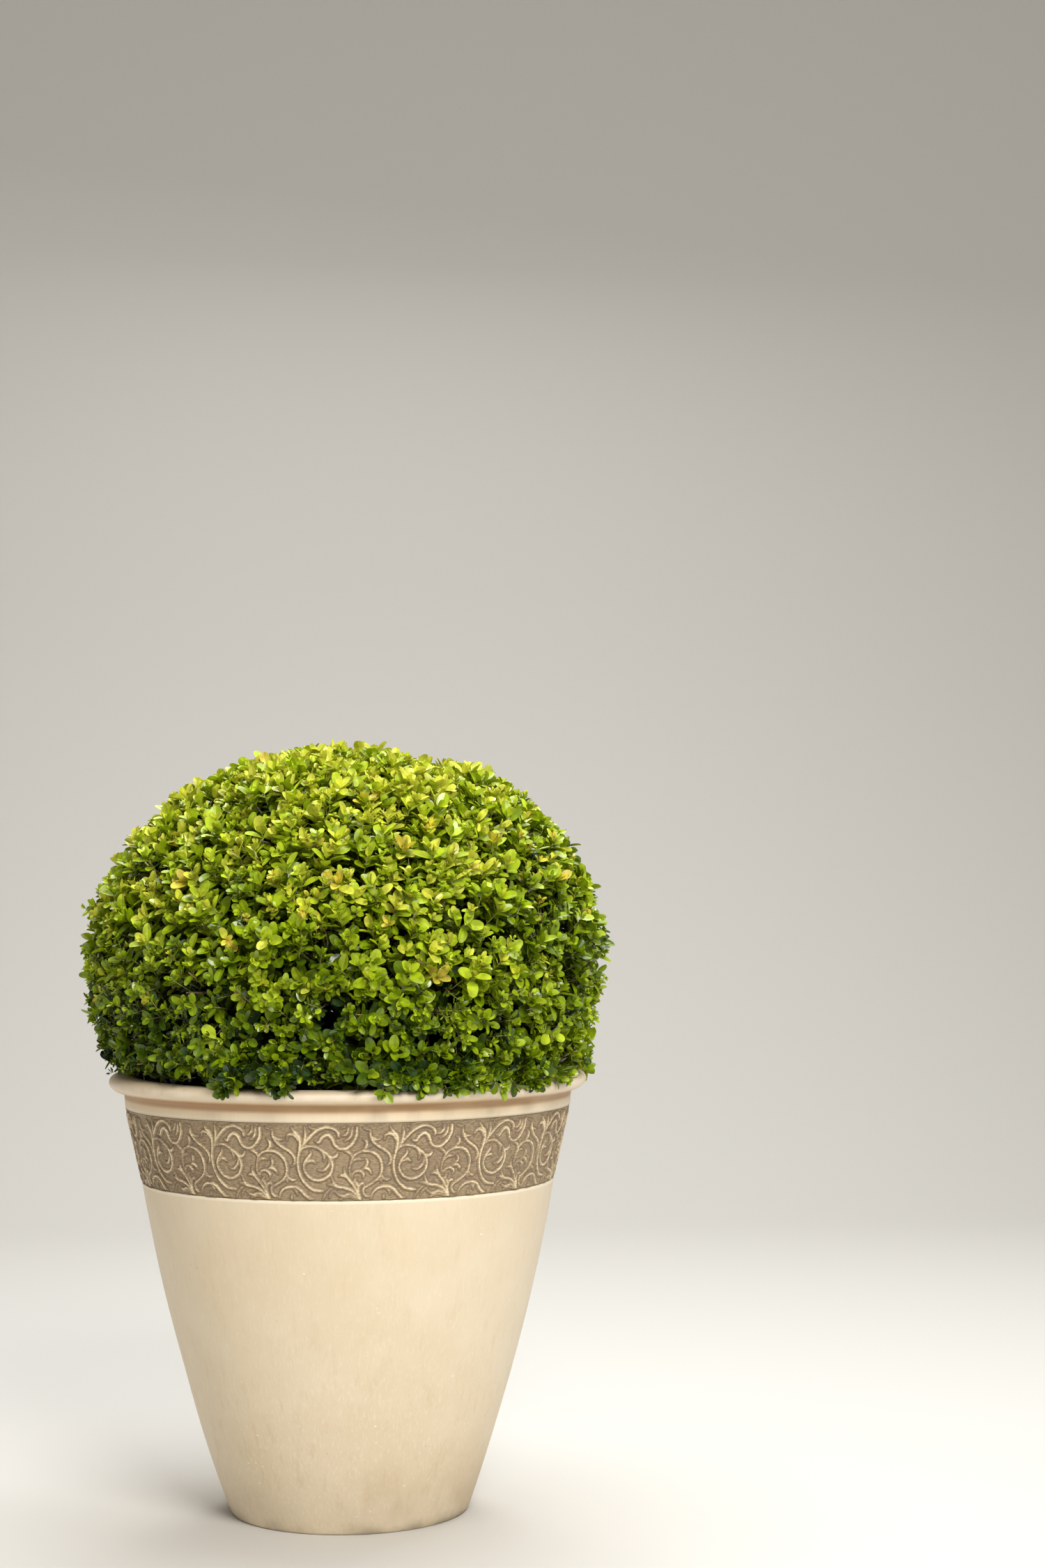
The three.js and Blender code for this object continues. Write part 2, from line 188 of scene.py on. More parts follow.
def glaze(finish, vector, z):
    """The planter's cream glaze as (colour, roughness, bump height), without its wash.

    Soft clouds, upright brush marks that grow stronger towards the foot, rare pits and pale flecks.
    """
    def scattered(tall, scale, edge, patches, detail, rarity):
        """Small round marks, only where a broader noise passes a rarity."""
        cells = finish.node("ShaderNodeTexVoronoi", {}, {
            "Vector": vector.stretched(1.0, 1.0, tall), "Scale": scale})
        broad = vector.noise(patches, detail)
        return cells.ramp(0.05, edge, 1.0, 0.0) * broad.ramp(rarity, rarity + 0.05)

    mottle = vector.noise(6.0, 4.0)
    cloud = vector.noise(21.0, 5.0, 0.6)
    brush = vector.stretched(95.0, 95.0, 6.0).noise(1.0, 4.0, 0.65)
    hair = vector.stretched(480.0, 480.0, 16.0).noise(1.0, 2.0)
    low = z.ramp(0.05, 0.34, 1.0, 0.45)
    pit = scattered(0.7, 150.0, 0.11, 37.0, 2.0, 0.63)
    fleck = scattered(1.6, 62.0, 0.13, 13.0, 1.0, 0.62)
    cream = finish.coats(rgb(230, 214, 186), [
        (mottle.ramp(0.32, 0.68), (226, 208, 177)),
        (cloud.ramp(0.40, 0.82) * 0.4, (237, 222, 196)),
        (brush.ramp(0.5, 0.72) * low * 0.32, (206, 182, 146)),
        (hair.ramp(0.52, 0.70) * low * 0.34, (245, 234, 212)),
        (pit * 0.6, (158, 130, 96)),
        (fleck * 0.75, (251, 246, 234)),
    ])
    rough = 0.43 + 0.12 * mottle + 0.10 * brush + 0.15 * pit
    lump = brush * low * 0.7 + hair * low * 0.25 + cloud * 0.5 - pit * 0.6
    return cream, rough, lump


def planter_finish():
    """Cream glaze, a brown wash in the crease under the rim deepened by painted shade, painted
    highlights along the roll and just under the band, a painted shadow under the neck, and dust and
    stains at the foot.

    The zones of height are in metres.
    """
    finish = Finish("antique_cream_glaze")
    vector = finish.place()
    z = finish.node("ShaderNodeSeparateXYZ", {}, [vector], "Z")
    cream, rough, lump = glaze(finish, vector, z)
    drift = vector.noise(16.0, 3.0)
    stain = vector.stretched(9.0, 9.0, 6.0).noise(1.0, 3.0)
    tinged = z.ramp(0.4865, 0.4885) * drift.ramp(0.30, 0.62, 0.45, 1.0)
    # Painted highlight along the middle of the rim's roll, where the glaze is also rubbed pale
    rubbed_and_painted_highlight = z.zone(0.4935, 0.4985, 0.5010, 0.5060)
    halo = z.zone(0.4765, 0.4835, 0.4880, 0.4960)
    # A brown wash under the rim's roll, deepened as painted shade where the roll shades its
    # underside
    crease_wash_and_shade = z.zone(0.4800, 0.4850, 0.4902, 0.4945)
    # Painted shadow: a thin dark line under the neck's ledge, at the band's top edge
    painted_neck_shadow = z.zone(0.4690, 0.4705, 0.4715, 0.4735)
    worn = vector.noise(38.0, 4.0).ramp(0.56, 0.72) * z.ramp(0.494, 0.502)
    # Painted highlight: a pale line along the wall's edge just under the band
    painted_edge_highlight = z.zone(0.3805, 0.3830, 0.3850, 0.3856)
    uneven = z + vector.noise(55.0, 3.0) * 0.006
    spill = uneven.ramp(0.3876, 0.3884) * z.ramp(0.3850, 0.3856, 1.0, 0.0)
    dust = z.ramp(0.004, 0.085, 1.0, 0.0) * drift.ramp(0.25, 0.6, 0.4, 1.0)
    damp = z.ramp(0.02, 0.13, 1.0, 0.0) * stain.ramp(0.52, 0.66)
    splash = z.ramp(0.0, 0.018, 1.0, 0.0) * drift.ramp(0.42, 0.6)
    cream = finish.coats(cream, [
        (tinged * 0.42, (218, 190, 156)),
        (rubbed_and_painted_highlight * drift.ramp(0.35, 0.6, 0.08, 0.45), (250, 241, 226)),
        (halo * 0.5, (222, 190, 142)),
        (crease_wash_and_shade * drift.ramp(0.25, 0.6, 0.80, 1.0), (175, 138, 97)),
        (painted_neck_shadow * 0.4, (136, 110, 80)),
        (worn * 0.28, (188, 160, 126)),
        (painted_edge_highlight * 0.8, (247, 236, 212)),
        (spill * 0.6, (150, 126, 94)),
        (dust * 0.38, (196, 183, 160)),
        (damp * 0.26, (168, 134, 92)),
        (splash * 0.5, (142, 126, 102)),
    ])
    return finish.surface(Base_Color=cream, Roughness=rough + dust * 0.25,
                          Normal=finish.bump(lump, 0.0006), Coat_Weight=0.15, Coat_Roughness=0.32)


def band_finish():
    """Grey-brown wash brushed round the band, ochre where it is thin, and cream wiped ridges."""
    finish = Finish("brushed_brown_wash")
    vector = finish.place()
    around = finish.node("ShaderNodeUVMap", {"uv_map": "around"})
    relief = finish.node("ShaderNodeAttribute", {"attribute_name": "relief"}, output="Fac")
    brush = around.stretched(190.0, 620.0, 1.0).noise(1.0, 4.0, 0.76)
    patch = around.stretched(30.0, 60.0, 1.0).noise(1.0, 3.0)
    grain = vector.noise(420.0, 2.0)
    thin = brush.ramp(0.46, 0.60) * patch.ramp(0.28, 0.52, 0.2, 1.0)
    worn = relief + (brush - 0.5) * 0.9 + (patch - 0.5) * 0.4 + (grain - 0.5) * 0.3
    wiped = worn.ramp(0.32, 0.94)
    colour = finish.coats(rgb(137, 119, 97), [
        (vector.noise(11.0, 2.0).ramp(0.38, 0.62), (150, 132, 107)),
        (thin * 0.66, (190, 163, 114)),
        (brush.ramp(0.34, 0.47, 1.0, 0.0) * 0.62, (106, 91, 77)),
        (wiped * 0.5, (200, 174, 130)),
        (worn.ramp(0.58, 0.96) * 0.95, (241, 222, 184)),
        # A dark line round the foot of each stroke: brown wash in the crevice, deepened as painted
        # shade
        (relief.zone(0.0, 0.05, 0.10, 0.42) * 0.52, (90, 74, 58)),
    ])
    return finish.surface(Base_Color=colour, Roughness=0.58 - 0.12 * wiped,
                          Normal=finish.bump(brush * 0.6 + grain * 0.4, 0.0007))


def soil_finish():
    """Dark, crumbly and dull, with paler patches here and there."""
    finish = Finish("potting_mix")
    vector = finish.place()
    fine = vector.noise(210.0, 6.0, 0.7)
    colour = finish.coats(rgb(38, 27, 18), [
        (fine.ramp(0.35, 0.65), (78, 56, 38)),
        (vector.noise(60.0, 3.0).ramp(0.6, 0.7) * 0.5, (112, 88, 60)),
    ])
    return finish.surface(Base_Color=colour, Roughness=0.95, Normal=finish.bump(fine, 0.002))


def bark_finish(name, light, dark):
    """Fine bark between a light and a dark screen colour, with paler patches."""
    finish = Finish(name)
    vector = finish.place()
    grain = vector.stretched(900.0, 900.0, 120.0).noise(1.0, 4.0, 0.65)
    colour = finish.coats(rgb(*dark), [
        (grain.ramp(0.35, 0.65), light),
        (vector.noise(90.0, 3.0).ramp(0.5, 0.7) * 0.4, (160, 150, 124)),
    ])
    return finish.surface(Base_Color=colour, Roughness=0.85, Normal=finish.bump(grain, 0.0008))


def leaf_finish(name, colour, roughness):
    """A leaf's waxy green, a little lighter or darker, glossier or duller, from place to place."""
    finish = Finish(name)
    vector = finish.place()
    gloss = vector.noise(88.0, 1.0).ramp(0.42, 0.60)
    darker, lighter = ((*(share * np.array(colour[:3])).tolist(), 1.0) for share in (0.72, 1.22))
    green = finish.blend(vector.noise(70.0, 2.0).ramp(0.36, 0.64), darker, lighter)
    return finish.surface(Base_Color=green, Roughness=roughness + 0.10 - gloss * 0.14,
                          Specular_IOR_Level=0.30, Coat_Weight=gloss * 0.62, Coat_Roughness=0.22)


def put_in_scene(name, data):
    """A new object that holds this data, linked into the scene."""
    made = bpy.data.objects.new(name, data)
    bpy.context.scene.collection.objects.link(made)
    return made


def make_piece(name, points, blocks, material, slot, node, uv=None, values=None, smooth=True,
               folded=None):
    """A mesh from points in mm and blocks of faces of one size each, riding on the part's body.

    An edge between two points marked as folded stays sharp.
    """
    mesh = bpy.data.meshes.new(name)
    corners = np.concatenate([np.asarray(block).ravel() for block in blocks]).astype(np.int32)
    sizes = np.concatenate([np.full(len(block), np.shape(block)[1]) for block in blocks])
    starts = np.concatenate([[0], np.cumsum(sizes)[:-1]]).astype(np.int32)
    mesh.vertices.add(len(points))
    mesh.vertices.foreach_set("co", (np.asarray(points) * MM).astype(np.float32).ravel())
    mesh.loops.add(len(corners))
    mesh.loops.foreach_set("vertex_index", corners)
    mesh.polygons.add(len(sizes))
    mesh.polygons.foreach_set("loop_start", starts)
    if uv is not None:
        layer = mesh.uv_layers.new(name="around")
        layer.data.foreach_set("uv", uv[corners].astype(np.float32).ravel())
    if values is not None:
        attribute = mesh.attributes.new("relief", "FLOAT", "POINT")
        attribute.data.foreach_set("value", values.astype(np.float32))
    mesh.update(calc_edges=True)
    mesh.validate()
    mesh.polygons.foreach_set("use_smooth", np.full(len(mesh.polygons), smooth))
    if folded is not None:
        ends = np.empty(2 * len(mesh.edges), np.int32)
        mesh.edges.foreach_get("vertices", ends)
        mesh.edges.foreach_set("use_edge_sharp", folded[ends.reshape(-1, 2)].all(axis=1))
    mesh.materials.append(material)
    piece = put_in_scene(name, mesh)
    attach(piece, "root")
    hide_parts(node)
    return piece


def grid_quads(rows, columns, close_columns=False, close_rows=False):
    """Quads of a grid of points stored row by row, which may close on itself either way."""
    r = np.arange(rows if close_rows else rows - 1)[:, None]
    c = np.arange(columns if close_columns else columns - 1)[None, :]
    up, across = (r + 1) % rows, (c + 1) % columns
    quads = [r * columns + c, r * columns + across, up * columns + across, up * columns + c]
    return np.stack(quads, axis=-1).reshape(-1, 4)


def fan(ring, middle, turned=False):
    """Triangles from a closed ring of point numbers to one middle point."""
    after = np.roll(ring, -1)
    first, second = (after, ring) if turned else (ring, after)
    return np.stack([first, second, np.full(len(ring), middle)], axis=-1)


def ripple(points, size, seed, waves=24):
    """A smooth random height, about -1 to 1: a sum of plane waves about size mm long."""
    random = np.random.default_rng(seed)
    ways = random.normal(size=(waves, np.shape(points)[-1]))
    ways *= 2 * np.pi / size * random.uniform(0.5, 1.4, (waves, 1)) / np.linalg.norm(
        ways, axis=1, keepdims=True)
    phases = random.uniform(0, 2 * np.pi, waves)
    total = np.zeros(np.shape(points)[:-1])
    for way, phase in zip(ways, phases):
        total += np.sin(points @ way + phase)
    return total / np.sqrt(waves)


def climb(value, start, length):
    """0 until a value reaches a start, then a straight rise to 1 over a length."""
    return np.clip((value - start) / length, 0, 1)


def outer_radius(z):
    """The wall's radius at a height: a bowed cone up to the band, and a straight one above."""
    z = np.asarray(z, float)
    low, high = climb(z, 0, BAND_FOOT), climb(z, BAND_FOOT, BAND_TOP - BAND_FOOT)
    bowed = FOOT_RADIUS + (BAND_FOOT_RADIUS - FOOT_RADIUS) * low + 4 * WALL_BULGE * low * (1 - low)
    straight = BAND_FOOT_RADIUS + (NECK_RADIUS - BAND_FOOT_RADIUS) * high
    return np.where(z < BAND_FOOT, bowed, straight)


def round_axis(radius, angle, z):
    """Points about the upright axis, r sin a, -r cos a and z: angles run from the front to +X."""
    return np.stack(np.broadcast_arrays(radius * np.sin(angle), -radius * np.cos(angle), z), -1)


def arc(centre, radii, start, end, steps):
    """Points of an elliptic arc, with angles in degrees from the outward direction."""
    angle = np.radians(np.linspace(start, end, steps))
    return np.stack([centre[0] + radii[0] * np.cos(angle), centre[1] + radii[1] * np.sin(angle)], 1)


def wall(radii, heights):
    """Points (radius, height) of a section, at one radius or one for each height."""
    return np.stack([np.broadcast_to(radii, np.shape(heights)), heights], 1)


def planter_profile():
    """The whole section from the underside's middle, up the outside and down the inside.

    Runs of the wall with arcs at the foot, round the rim and at its lip. The edges of the
    band's recess are eased by about a millimetre.
    """
    low = np.linspace(FOOT_ROUNDING, BAND_FOOT - 1.2, 74)
    recess = np.array([BAND_FOOT, BAND_TOP])
    inside_high = np.linspace(RIM_TOP - LIP_ROUNDING, BAND_FOOT, 14)
    inside_low = np.linspace(BAND_FOOT, 22, 30)[1:]
    sunk = BAND_TOP - np.minimum(inside_high, BAND_TOP)
    return np.concatenate([
        wall([30, 100, FOOT_RADIUS - FOOT_ROUNDING], np.zeros(3)),
        arc((FOOT_RADIUS - FOOT_ROUNDING, FOOT_ROUNDING), (FOOT_ROUNDING,) * 2, -60, -20, 3),
        wall(outer_radius(low), low),
        wall(BAND_FOOT_RADIUS - np.array([0.1, 0.6, 1.6]), BAND_FOOT - np.array([0.5, 0.1, 0.0])),
        wall(outer_radius(recess) - RECESS_DEPTH, recess),
        wall(NECK_RADIUS - np.array([1.6, 0.5, 0.0]), BAND_TOP + np.array([0.0, 0.1, 0.7])),
        wall(NECK_RADIUS + np.array([0.6, 1.0, 1.4]), np.array([476.0, 482.0, NECK_TOP - 1])),
        arc((ROLL_UNDER, RIM_WIDEST), (RIM_RADIUS - ROLL_UNDER, RIM_WIDEST - NECK_TOP), -84, 0, 16),
        arc((ROLL_OVER, RIM_WIDEST), (RIM_RADIUS - ROLL_OVER, RIM_TOP - RIM_WIDEST), 8, 90, 10),
        wall([263.0, 258.0], RIM_TOP + np.array([0.3, 0.1])),
        arc((LIP_RADIUS, RIM_TOP - LIP_ROUNDING), (LIP_ROUNDING,) * 2, 90, 172, 8),
        wall(NECK_RADIUS - WALL_THICKNESS - sunk * INSIDE_TAPER, inside_high),
        wall(outer_radius(inside_low) - WALL_THICKNESS, inside_low),
        wall([100, 30], np.full(2, FLOOR_THICKNESS)),
    ])


def capped(rows, columns):
    """The faces of a tube of rows of points, closed by the two poles that follow them."""
    foot, top = np.arange(columns), np.arange((rows - 1) * columns, rows * columns)
    return [grid_quads(rows, columns, close_columns=True),
            fan(foot, rows * columns, turned=True), fan(top, rows * columns + 1)]


def turned_piece(profile, columns, shape):
    """A profile turned about the upright axis, then worked over, with a pole at either end."""
    angle = np.arange(columns) * 2 * np.pi / columns
    points = shape(round_axis(profile[:, :1], angle, profile[:, 1:]))
    poles = [[0, 0, height] for height in profile[[0, -1], 1]]
    return np.concatenate([points.reshape(-1, 3), poles]), capped(len(profile), columns)


def hand_made(points):
    """The wall wanders by half a millimetre, and the rim's upper half is thinner at the front."""
    radius = np.hypot(points[..., 0], points[..., 1])
    frontal = ((1 - points[..., 1] / radius) / 2) ** 3
    above = np.clip(points[..., 2] - RIM_WIDEST, 0, None)
    points[..., 2] += above * (0.25 - 0.5 * frontal)
    outside = (np.arange(len(points)) > 5)[:, None] * (points[..., 2] > 1) * (radius > 120)
    swell = 1 + outside * ripple(points, 210.0, 3) * 0.45 / np.maximum(radius, 1)
    points[..., :2] *= swell[..., None]
    return points


def planter():
    """The turned shell, with upright round holes cut through its floor."""
    points, faces = turned_piece(planter_profile(), columns=288, shape=hand_made)
    piece = make_piece("planter_shell", points, faces, planter_finish(), "planter", "planter")
    sides = 24
    ring = np.arange(sides) * 2 * np.pi / sides
    verts, polygons = [], []
    for n in range(DRAIN_COUNT):
        angle = 2 * np.pi * (n + 0.5) / DRAIN_COUNT
        x = DRAIN_CIRCLE * np.cos(angle) + DRAIN_RADIUS * np.cos(ring)
        y = DRAIN_CIRCLE * np.sin(angle) + DRAIN_RADIUS * np.sin(ring)
        start, top = len(verts), len(verts) + sides
        for z in (-10, 30):
            verts += (np.stack([x, y, 0 * x + z], axis=1) * MM).tolist()
        polygons += (grid_quads(2, sides, close_columns=True) + start).tolist()
        polygons += [list(range(start, top))[::-1], list(range(top, top + sides))]
    mesh = bpy.data.meshes.new("drills")
    mesh.from_pydata(verts, [], polygons)
    drills = put_in_scene("drills", mesh)
    cut = piece.modifiers.new("drain_holes", "BOOLEAN")
    cut.operation, cut.solver, cut.object = "DIFFERENCE", "EXACT", drills
    bpy.context.view_layer.update()
    pierced = piece.evaluated_get(bpy.context.evaluated_depsgraph_get())
    finished = bpy.data.meshes.new_from_object(pierced)
    piece.modifiers.clear()
    piece.data = finished
    finished.name = "planter_shell"
    bpy.data.objects.remove(drills)


# The scroll's strokes over one repeat of TILE_WIDTH by TILE_HEIGHT. Each is a row of places along,
# up and half width, and starts at its root.
STROKES = {
    "main stem": [(3, 80.5, .5), (6.5, 75.5, 1.3), (10.8, 71, 1.7), (12.3, 64, 1.5),
        (10.8, 54, 1.3), (8.9, 45, 1.3), (8.9, 36, 1.4), (11.4, 26.5, 1.4), (16.5, 18.5, 1.4),
        (25, 12.4, 1.6), (35.8, 10.8, 1.1)],
    "hooked leaf": [(10.6, 66, .9), (6.8, 71.6, 1.3), (2, 73, 1.2), (-1.6, 71, .9),
        (-2.2, 66.5, .4)],
    "upright blade": [(13, 56, .5), (16.2, 63, 1.0), (18.4, 71, 1.3), (18.2, 77.5, .9),
        (17.6, 81.5, .4)],
    "branch over": [(12.4, 55, .6), (17, 62.5, 1.0), (24.5, 71.5, 1.5), (32, 77.6, 1.7),
        (41, 80.6, 1.4), (49.5, 78.6, 1.2), (54, 74.4, 1.4), (54.2, 70, .9)],
    "wide swoosh": [(28.4, 65.8, .5), (32.6, 64.2, 1.2), (36.6, 69.6, 1.5), (42.4, 72.4, 1.8),
        (47.2, 68.6, 1.7), (50.6, 60.6, 1.4), (56.5, 57.0, 1.3), (63.5, 58, 1.4), (70, 64, 1.6),
        (73.6, 71.6, 1.6), (74, 80, 1.2)],
    "swoosh leaf": [(56.4, 71.4, .3), (60.5, 71.8, 1.0), (64, 75, 1.1), (65.2, 80.5, .7)],
    "swoosh vein": [(60.4, 65.6, .3), (64.5, 67.6, .9), (68, 72, 1.2), (69.2, 80, .8)],
    "spiral": [(9.6, 49.5, .6), (13, 56.2, .9), (20, 59.6, 1.0), (28.5, 59.2, 1.1),
        (35.5, 55.6, 1.1), (42, 50.8, 1.2), (46.6, 43.5, 1.4), (47.0, 36, 1.4), (43.8, 29, 1.4),
        (38, 24.6, 1.4), (30.4, 22.8, 1.5), (22.6, 25, 1.4), (17, 30.6, 1.2), (14.9, 37.2, 1.1),
        (17.4, 44, 1.2), (21.4, 48.6, 1.3), (23.6, 52.4, .9), (22.6, 55.4, .3)],
    "spiral hook": [(32.5, 57, .5), (36.4, 53, .9), (38.4, 48.4, 1.0), (37.4, 43.8, .4)],
    "inner comma": [(16.2, 39.6, .4), (20.5, 43.2, 1.0), (25.2, 44.2, 1.3), (28.9, 40.8, .3)],
    "inner leaf": [(43.6, 46, .4), (43.2, 40.4, 1.1), (39.6, 35.2, 1.3), (34.4, 33, .9),
        (30.4, 34.2, .3)],
    "outer leaf": [(39.2, 52, .5), (44, 48.8, 1.0), (49, 47.8, 1.4), (52.2, 50.2, 1.1),
        (53, 53.6, .3)],
    "fan stem": [(79, .6, 1.3), (74.6, 10.2, 1.2), (69.5, 18, 1.2), (65, 23.6, 1.3),
        (61.4, 28.8, 1.3), (60.1, 33.4, .8), (60.2, 37, .3)],
    "fan stem leaf": [(62.4, 25.8, .7), (58, 28, 1.3), (53.6, 27, .3)],
    "fan leaf": [(77.8, .8, 1.0), (73.4, 7, 1.2), (68, 11.6, 1.4), (60, 14.4, 1.4),
        (52.4, 15.8, 1.4), (48.6, 19.4, 1.1), (46.6, 24, .8), (45.5, 28.6, .3)],
    "fan leaf tip": [(51, 14.8, .7), (46, 17.6, 1.0), (40.8, 17.8, .3)],
    "low leaf": [(76, 1, .7), (70.5, 5.6, 1.0), (64.5, 7.4, 1.1), (59, 5.6, 1.1), (53.5, 6.8, .9),
        (48.2, 11.2, .3)],
    "low arc": [(35, 1.6, .5), (38.5, 7.4, .8), (43.5, 12.6, .7), (47, 13.4, .3)],
    "low arc two": [(42.6, 3.6, .4), (45.6, 9, .7), (51, 12.2, .3)],
    "low curl": [(54, .8, .4), (58.5, 3.4, .7), (64.5, 4.2, .7), (70.5, 3, .5), (73, .8, .3)],
    "bud stem": [(79, 1.2, .9), (76.4, 9, 1.1), (75.4, 15.4, .9), (74, 19.6, 1.1),
        (71.6, 22, .4)],
    "bud": [(76.4, 12.6, .5), (77.6, 17.4, 1.0), (81, 19.4, 1.1), (82.4, 17, .3)],
    "small bud": [(70.6, 18.6, .5), (72, 23, .9), (75, 25.4, .3)],
    "loop": [(88.4, 4.6, .7), (84.2, 5.6, 1.2), (81.6, 9.4, 1.1), (82.2, 13.8, 1.1),
        (86.4, 16.4, 1.1), (93.2, 20.4, 1.1), (98.6, 24.8, 1.2), (101.6, 30.8, 1.3),
        (102, 38, 1.3), (100, 45, 1.4), (95, 51, 1.5), (89, 53.8, 1.3), (83, 54.4, 1.1),
        (77, 53.4, 1.0), (72, 50.6, 1.0), (69, 46.4, 1.0), (67, 40.4, .9), (66, 33.6, .8),
        (67, 27.4, .6)],
    "loop leaf": [(69, 46.8, .6), (67.2, 51.4, 1.1), (63.8, 53.8, 1.1), (60, 54.4, .3)],
    "loop top": [(78.6, 54, .6), (83, 57.6, 1.0), (85, 61.6, 1.3), (84, 65.4, 1.1),
        (80.5, 67.4, .4)],
    "loop top sprig": [(82.6, 56.4, .4), (87, 59.4, .7), (90.5, 59.6, .3)],
    "loop leaf right": [(101.8, 28.6, .7), (104, 24.6, 1.1), (108, 22.8, 1.2), (112.5, 23.8, .3)],
    "loop drop": [(101.6, 26, .4), (101.5, 22, .9), (101.4, 19.6, .3)],
    "sprig curl": [(68.8, 25.6, .6), (69.6, 29.6, .9), (73, 32.6, 1.0), (78, 32.4, 1.1),
        (81.8, 29, 1.2), (81, 24.8, .4)],
    "sprig leaf": [(67.6, 40.8, .4), (71.4, 44.6, .9), (76, 46, 1.0), (80.4, 44.6, .3)],
    "sprig comma": [(81.8, 36.4, .4), (85.4, 39.6, 1.1), (85.8, 43.4, 1.2), (83.4, 47, .3)],
    "sprig tail": [(79.6, 34.6, .4), (84, 35.6, 1.2), (88.2, 33.8, 1.3), (90.6, 28.6, .3)],
    "long curve": [(88.8, 77.6, .5), (88.4, 72.4, 1.1), (90.2, 67, 1.3), (94.4, 62, 1.3),
        (100.4, 57.8, 1.3), (106.2, 54.4, 1.3), (110.6, 49.4, 1.2), (111.8, 44.4, 1.1),
        (110.4, 40, .9), (106.6, 37.4, .3)],
    "long curve leaf": [(88.8, 71, .5), (92.4, 68, 1.1), (96.4, 66.8, 1.0), (100.4, 67.4, .3)],
    "arch": [(-16, 2.4, .6), (-14, 8.4, 1.0), (-9, 13.2, 1.2), (-2.5, 15.2, 1.4), (4.5, 15, 1.5),
        (10, 12, 1.7), (15, 6.6, 1.6), (20, 2.8, 1.2), (25.2, 2.4, .4)],
    "arch leaf": [(1.2, 12.4, .4), (4.6, 10.6, 1.0), (6, 6.2, .4)],
    "arch drop": [(-1, 7, .4), (-1.2, 3.4, 1.0), (-1.4, 1.4, .5)],
    "top curl": [(22.6, 83, .4), (24, 79.8, .6), (27.6, 78.8, .6), (31, 80.4, .3)],
    "top wave": [(80, 80.2, .3), (84.6, 77.8, .7), (88, 78.6, .4)],
    "top wave two": [(57, 79, .3), (59.8, 81, .6), (62, 80, .3)],
}


def through(points, steps=26):
    """A Catmull-Rom curve through a row of points, with steps to each span."""
    rows = np.asarray(points, float)
    rows = np.concatenate([2 * rows[:1] - rows[1:2], rows, 2 * rows[-1:] - rows[-2:-1]])
    a, b, c, d = rows[:-3, None], rows[1:-2, None], rows[2:-1, None], rows[3:, None]
    t = np.linspace(0, 1, steps, endpoint=False)[None, :, None]
    curve = 0.5 * (2 * b + (c - a) * t + (2 * a - 5 * b + 4 * c - d) * t**2
                   + (3 * b - a - 3 * c + d) * t**3)
    return np.concatenate([curve.reshape(-1, rows.shape[1]), rows[-2:-1]])


def relief_tile(rows, columns):
    """The relief over one repeat, 0 to 1: the highest of the crested ridges along each stroke.

    A ridge is 1 - (distance / reach) to the power 1.2, where the reach is 0.6 + 1.55 half widths.
    It is lower where the stroke is thin, and the whole tile is smoothed over its neighbours.
    """
    x = (np.arange(columns) * TILE_WIDTH / columns)[None, :]
    y = np.linspace(0, TILE_HEIGHT, rows)[:, None]
    height = np.zeros((rows, columns))
    for stroke in STROKES.values():
        for along, up, half in through(stroke):
            dx = (x - along + TILE_WIDTH / 2) % TILE_WIDTH - TILE_WIDTH / 2
            share = np.hypot(dx, y - up) / (0.6 + 1.55 * half)
            ridge = np.clip(1 - share**1.2, 0, 1) * min(1.0, 0.45 + 0.45 * half)
            height = np.maximum(height, ridge)
    height = (np.roll(height, 1, axis=1) + 2 * height + np.roll(height, -1, axis=1)) / 4
    height[1:-1] = (height[:-2] + 2 * height[1:-1] + height[2:]) / 4
    return height


def back_radius(z):
    """The band's back, a hair's breadth outside the recess that it sits in."""
    return outer_radius(z) - RECESS_DEPTH + GAP


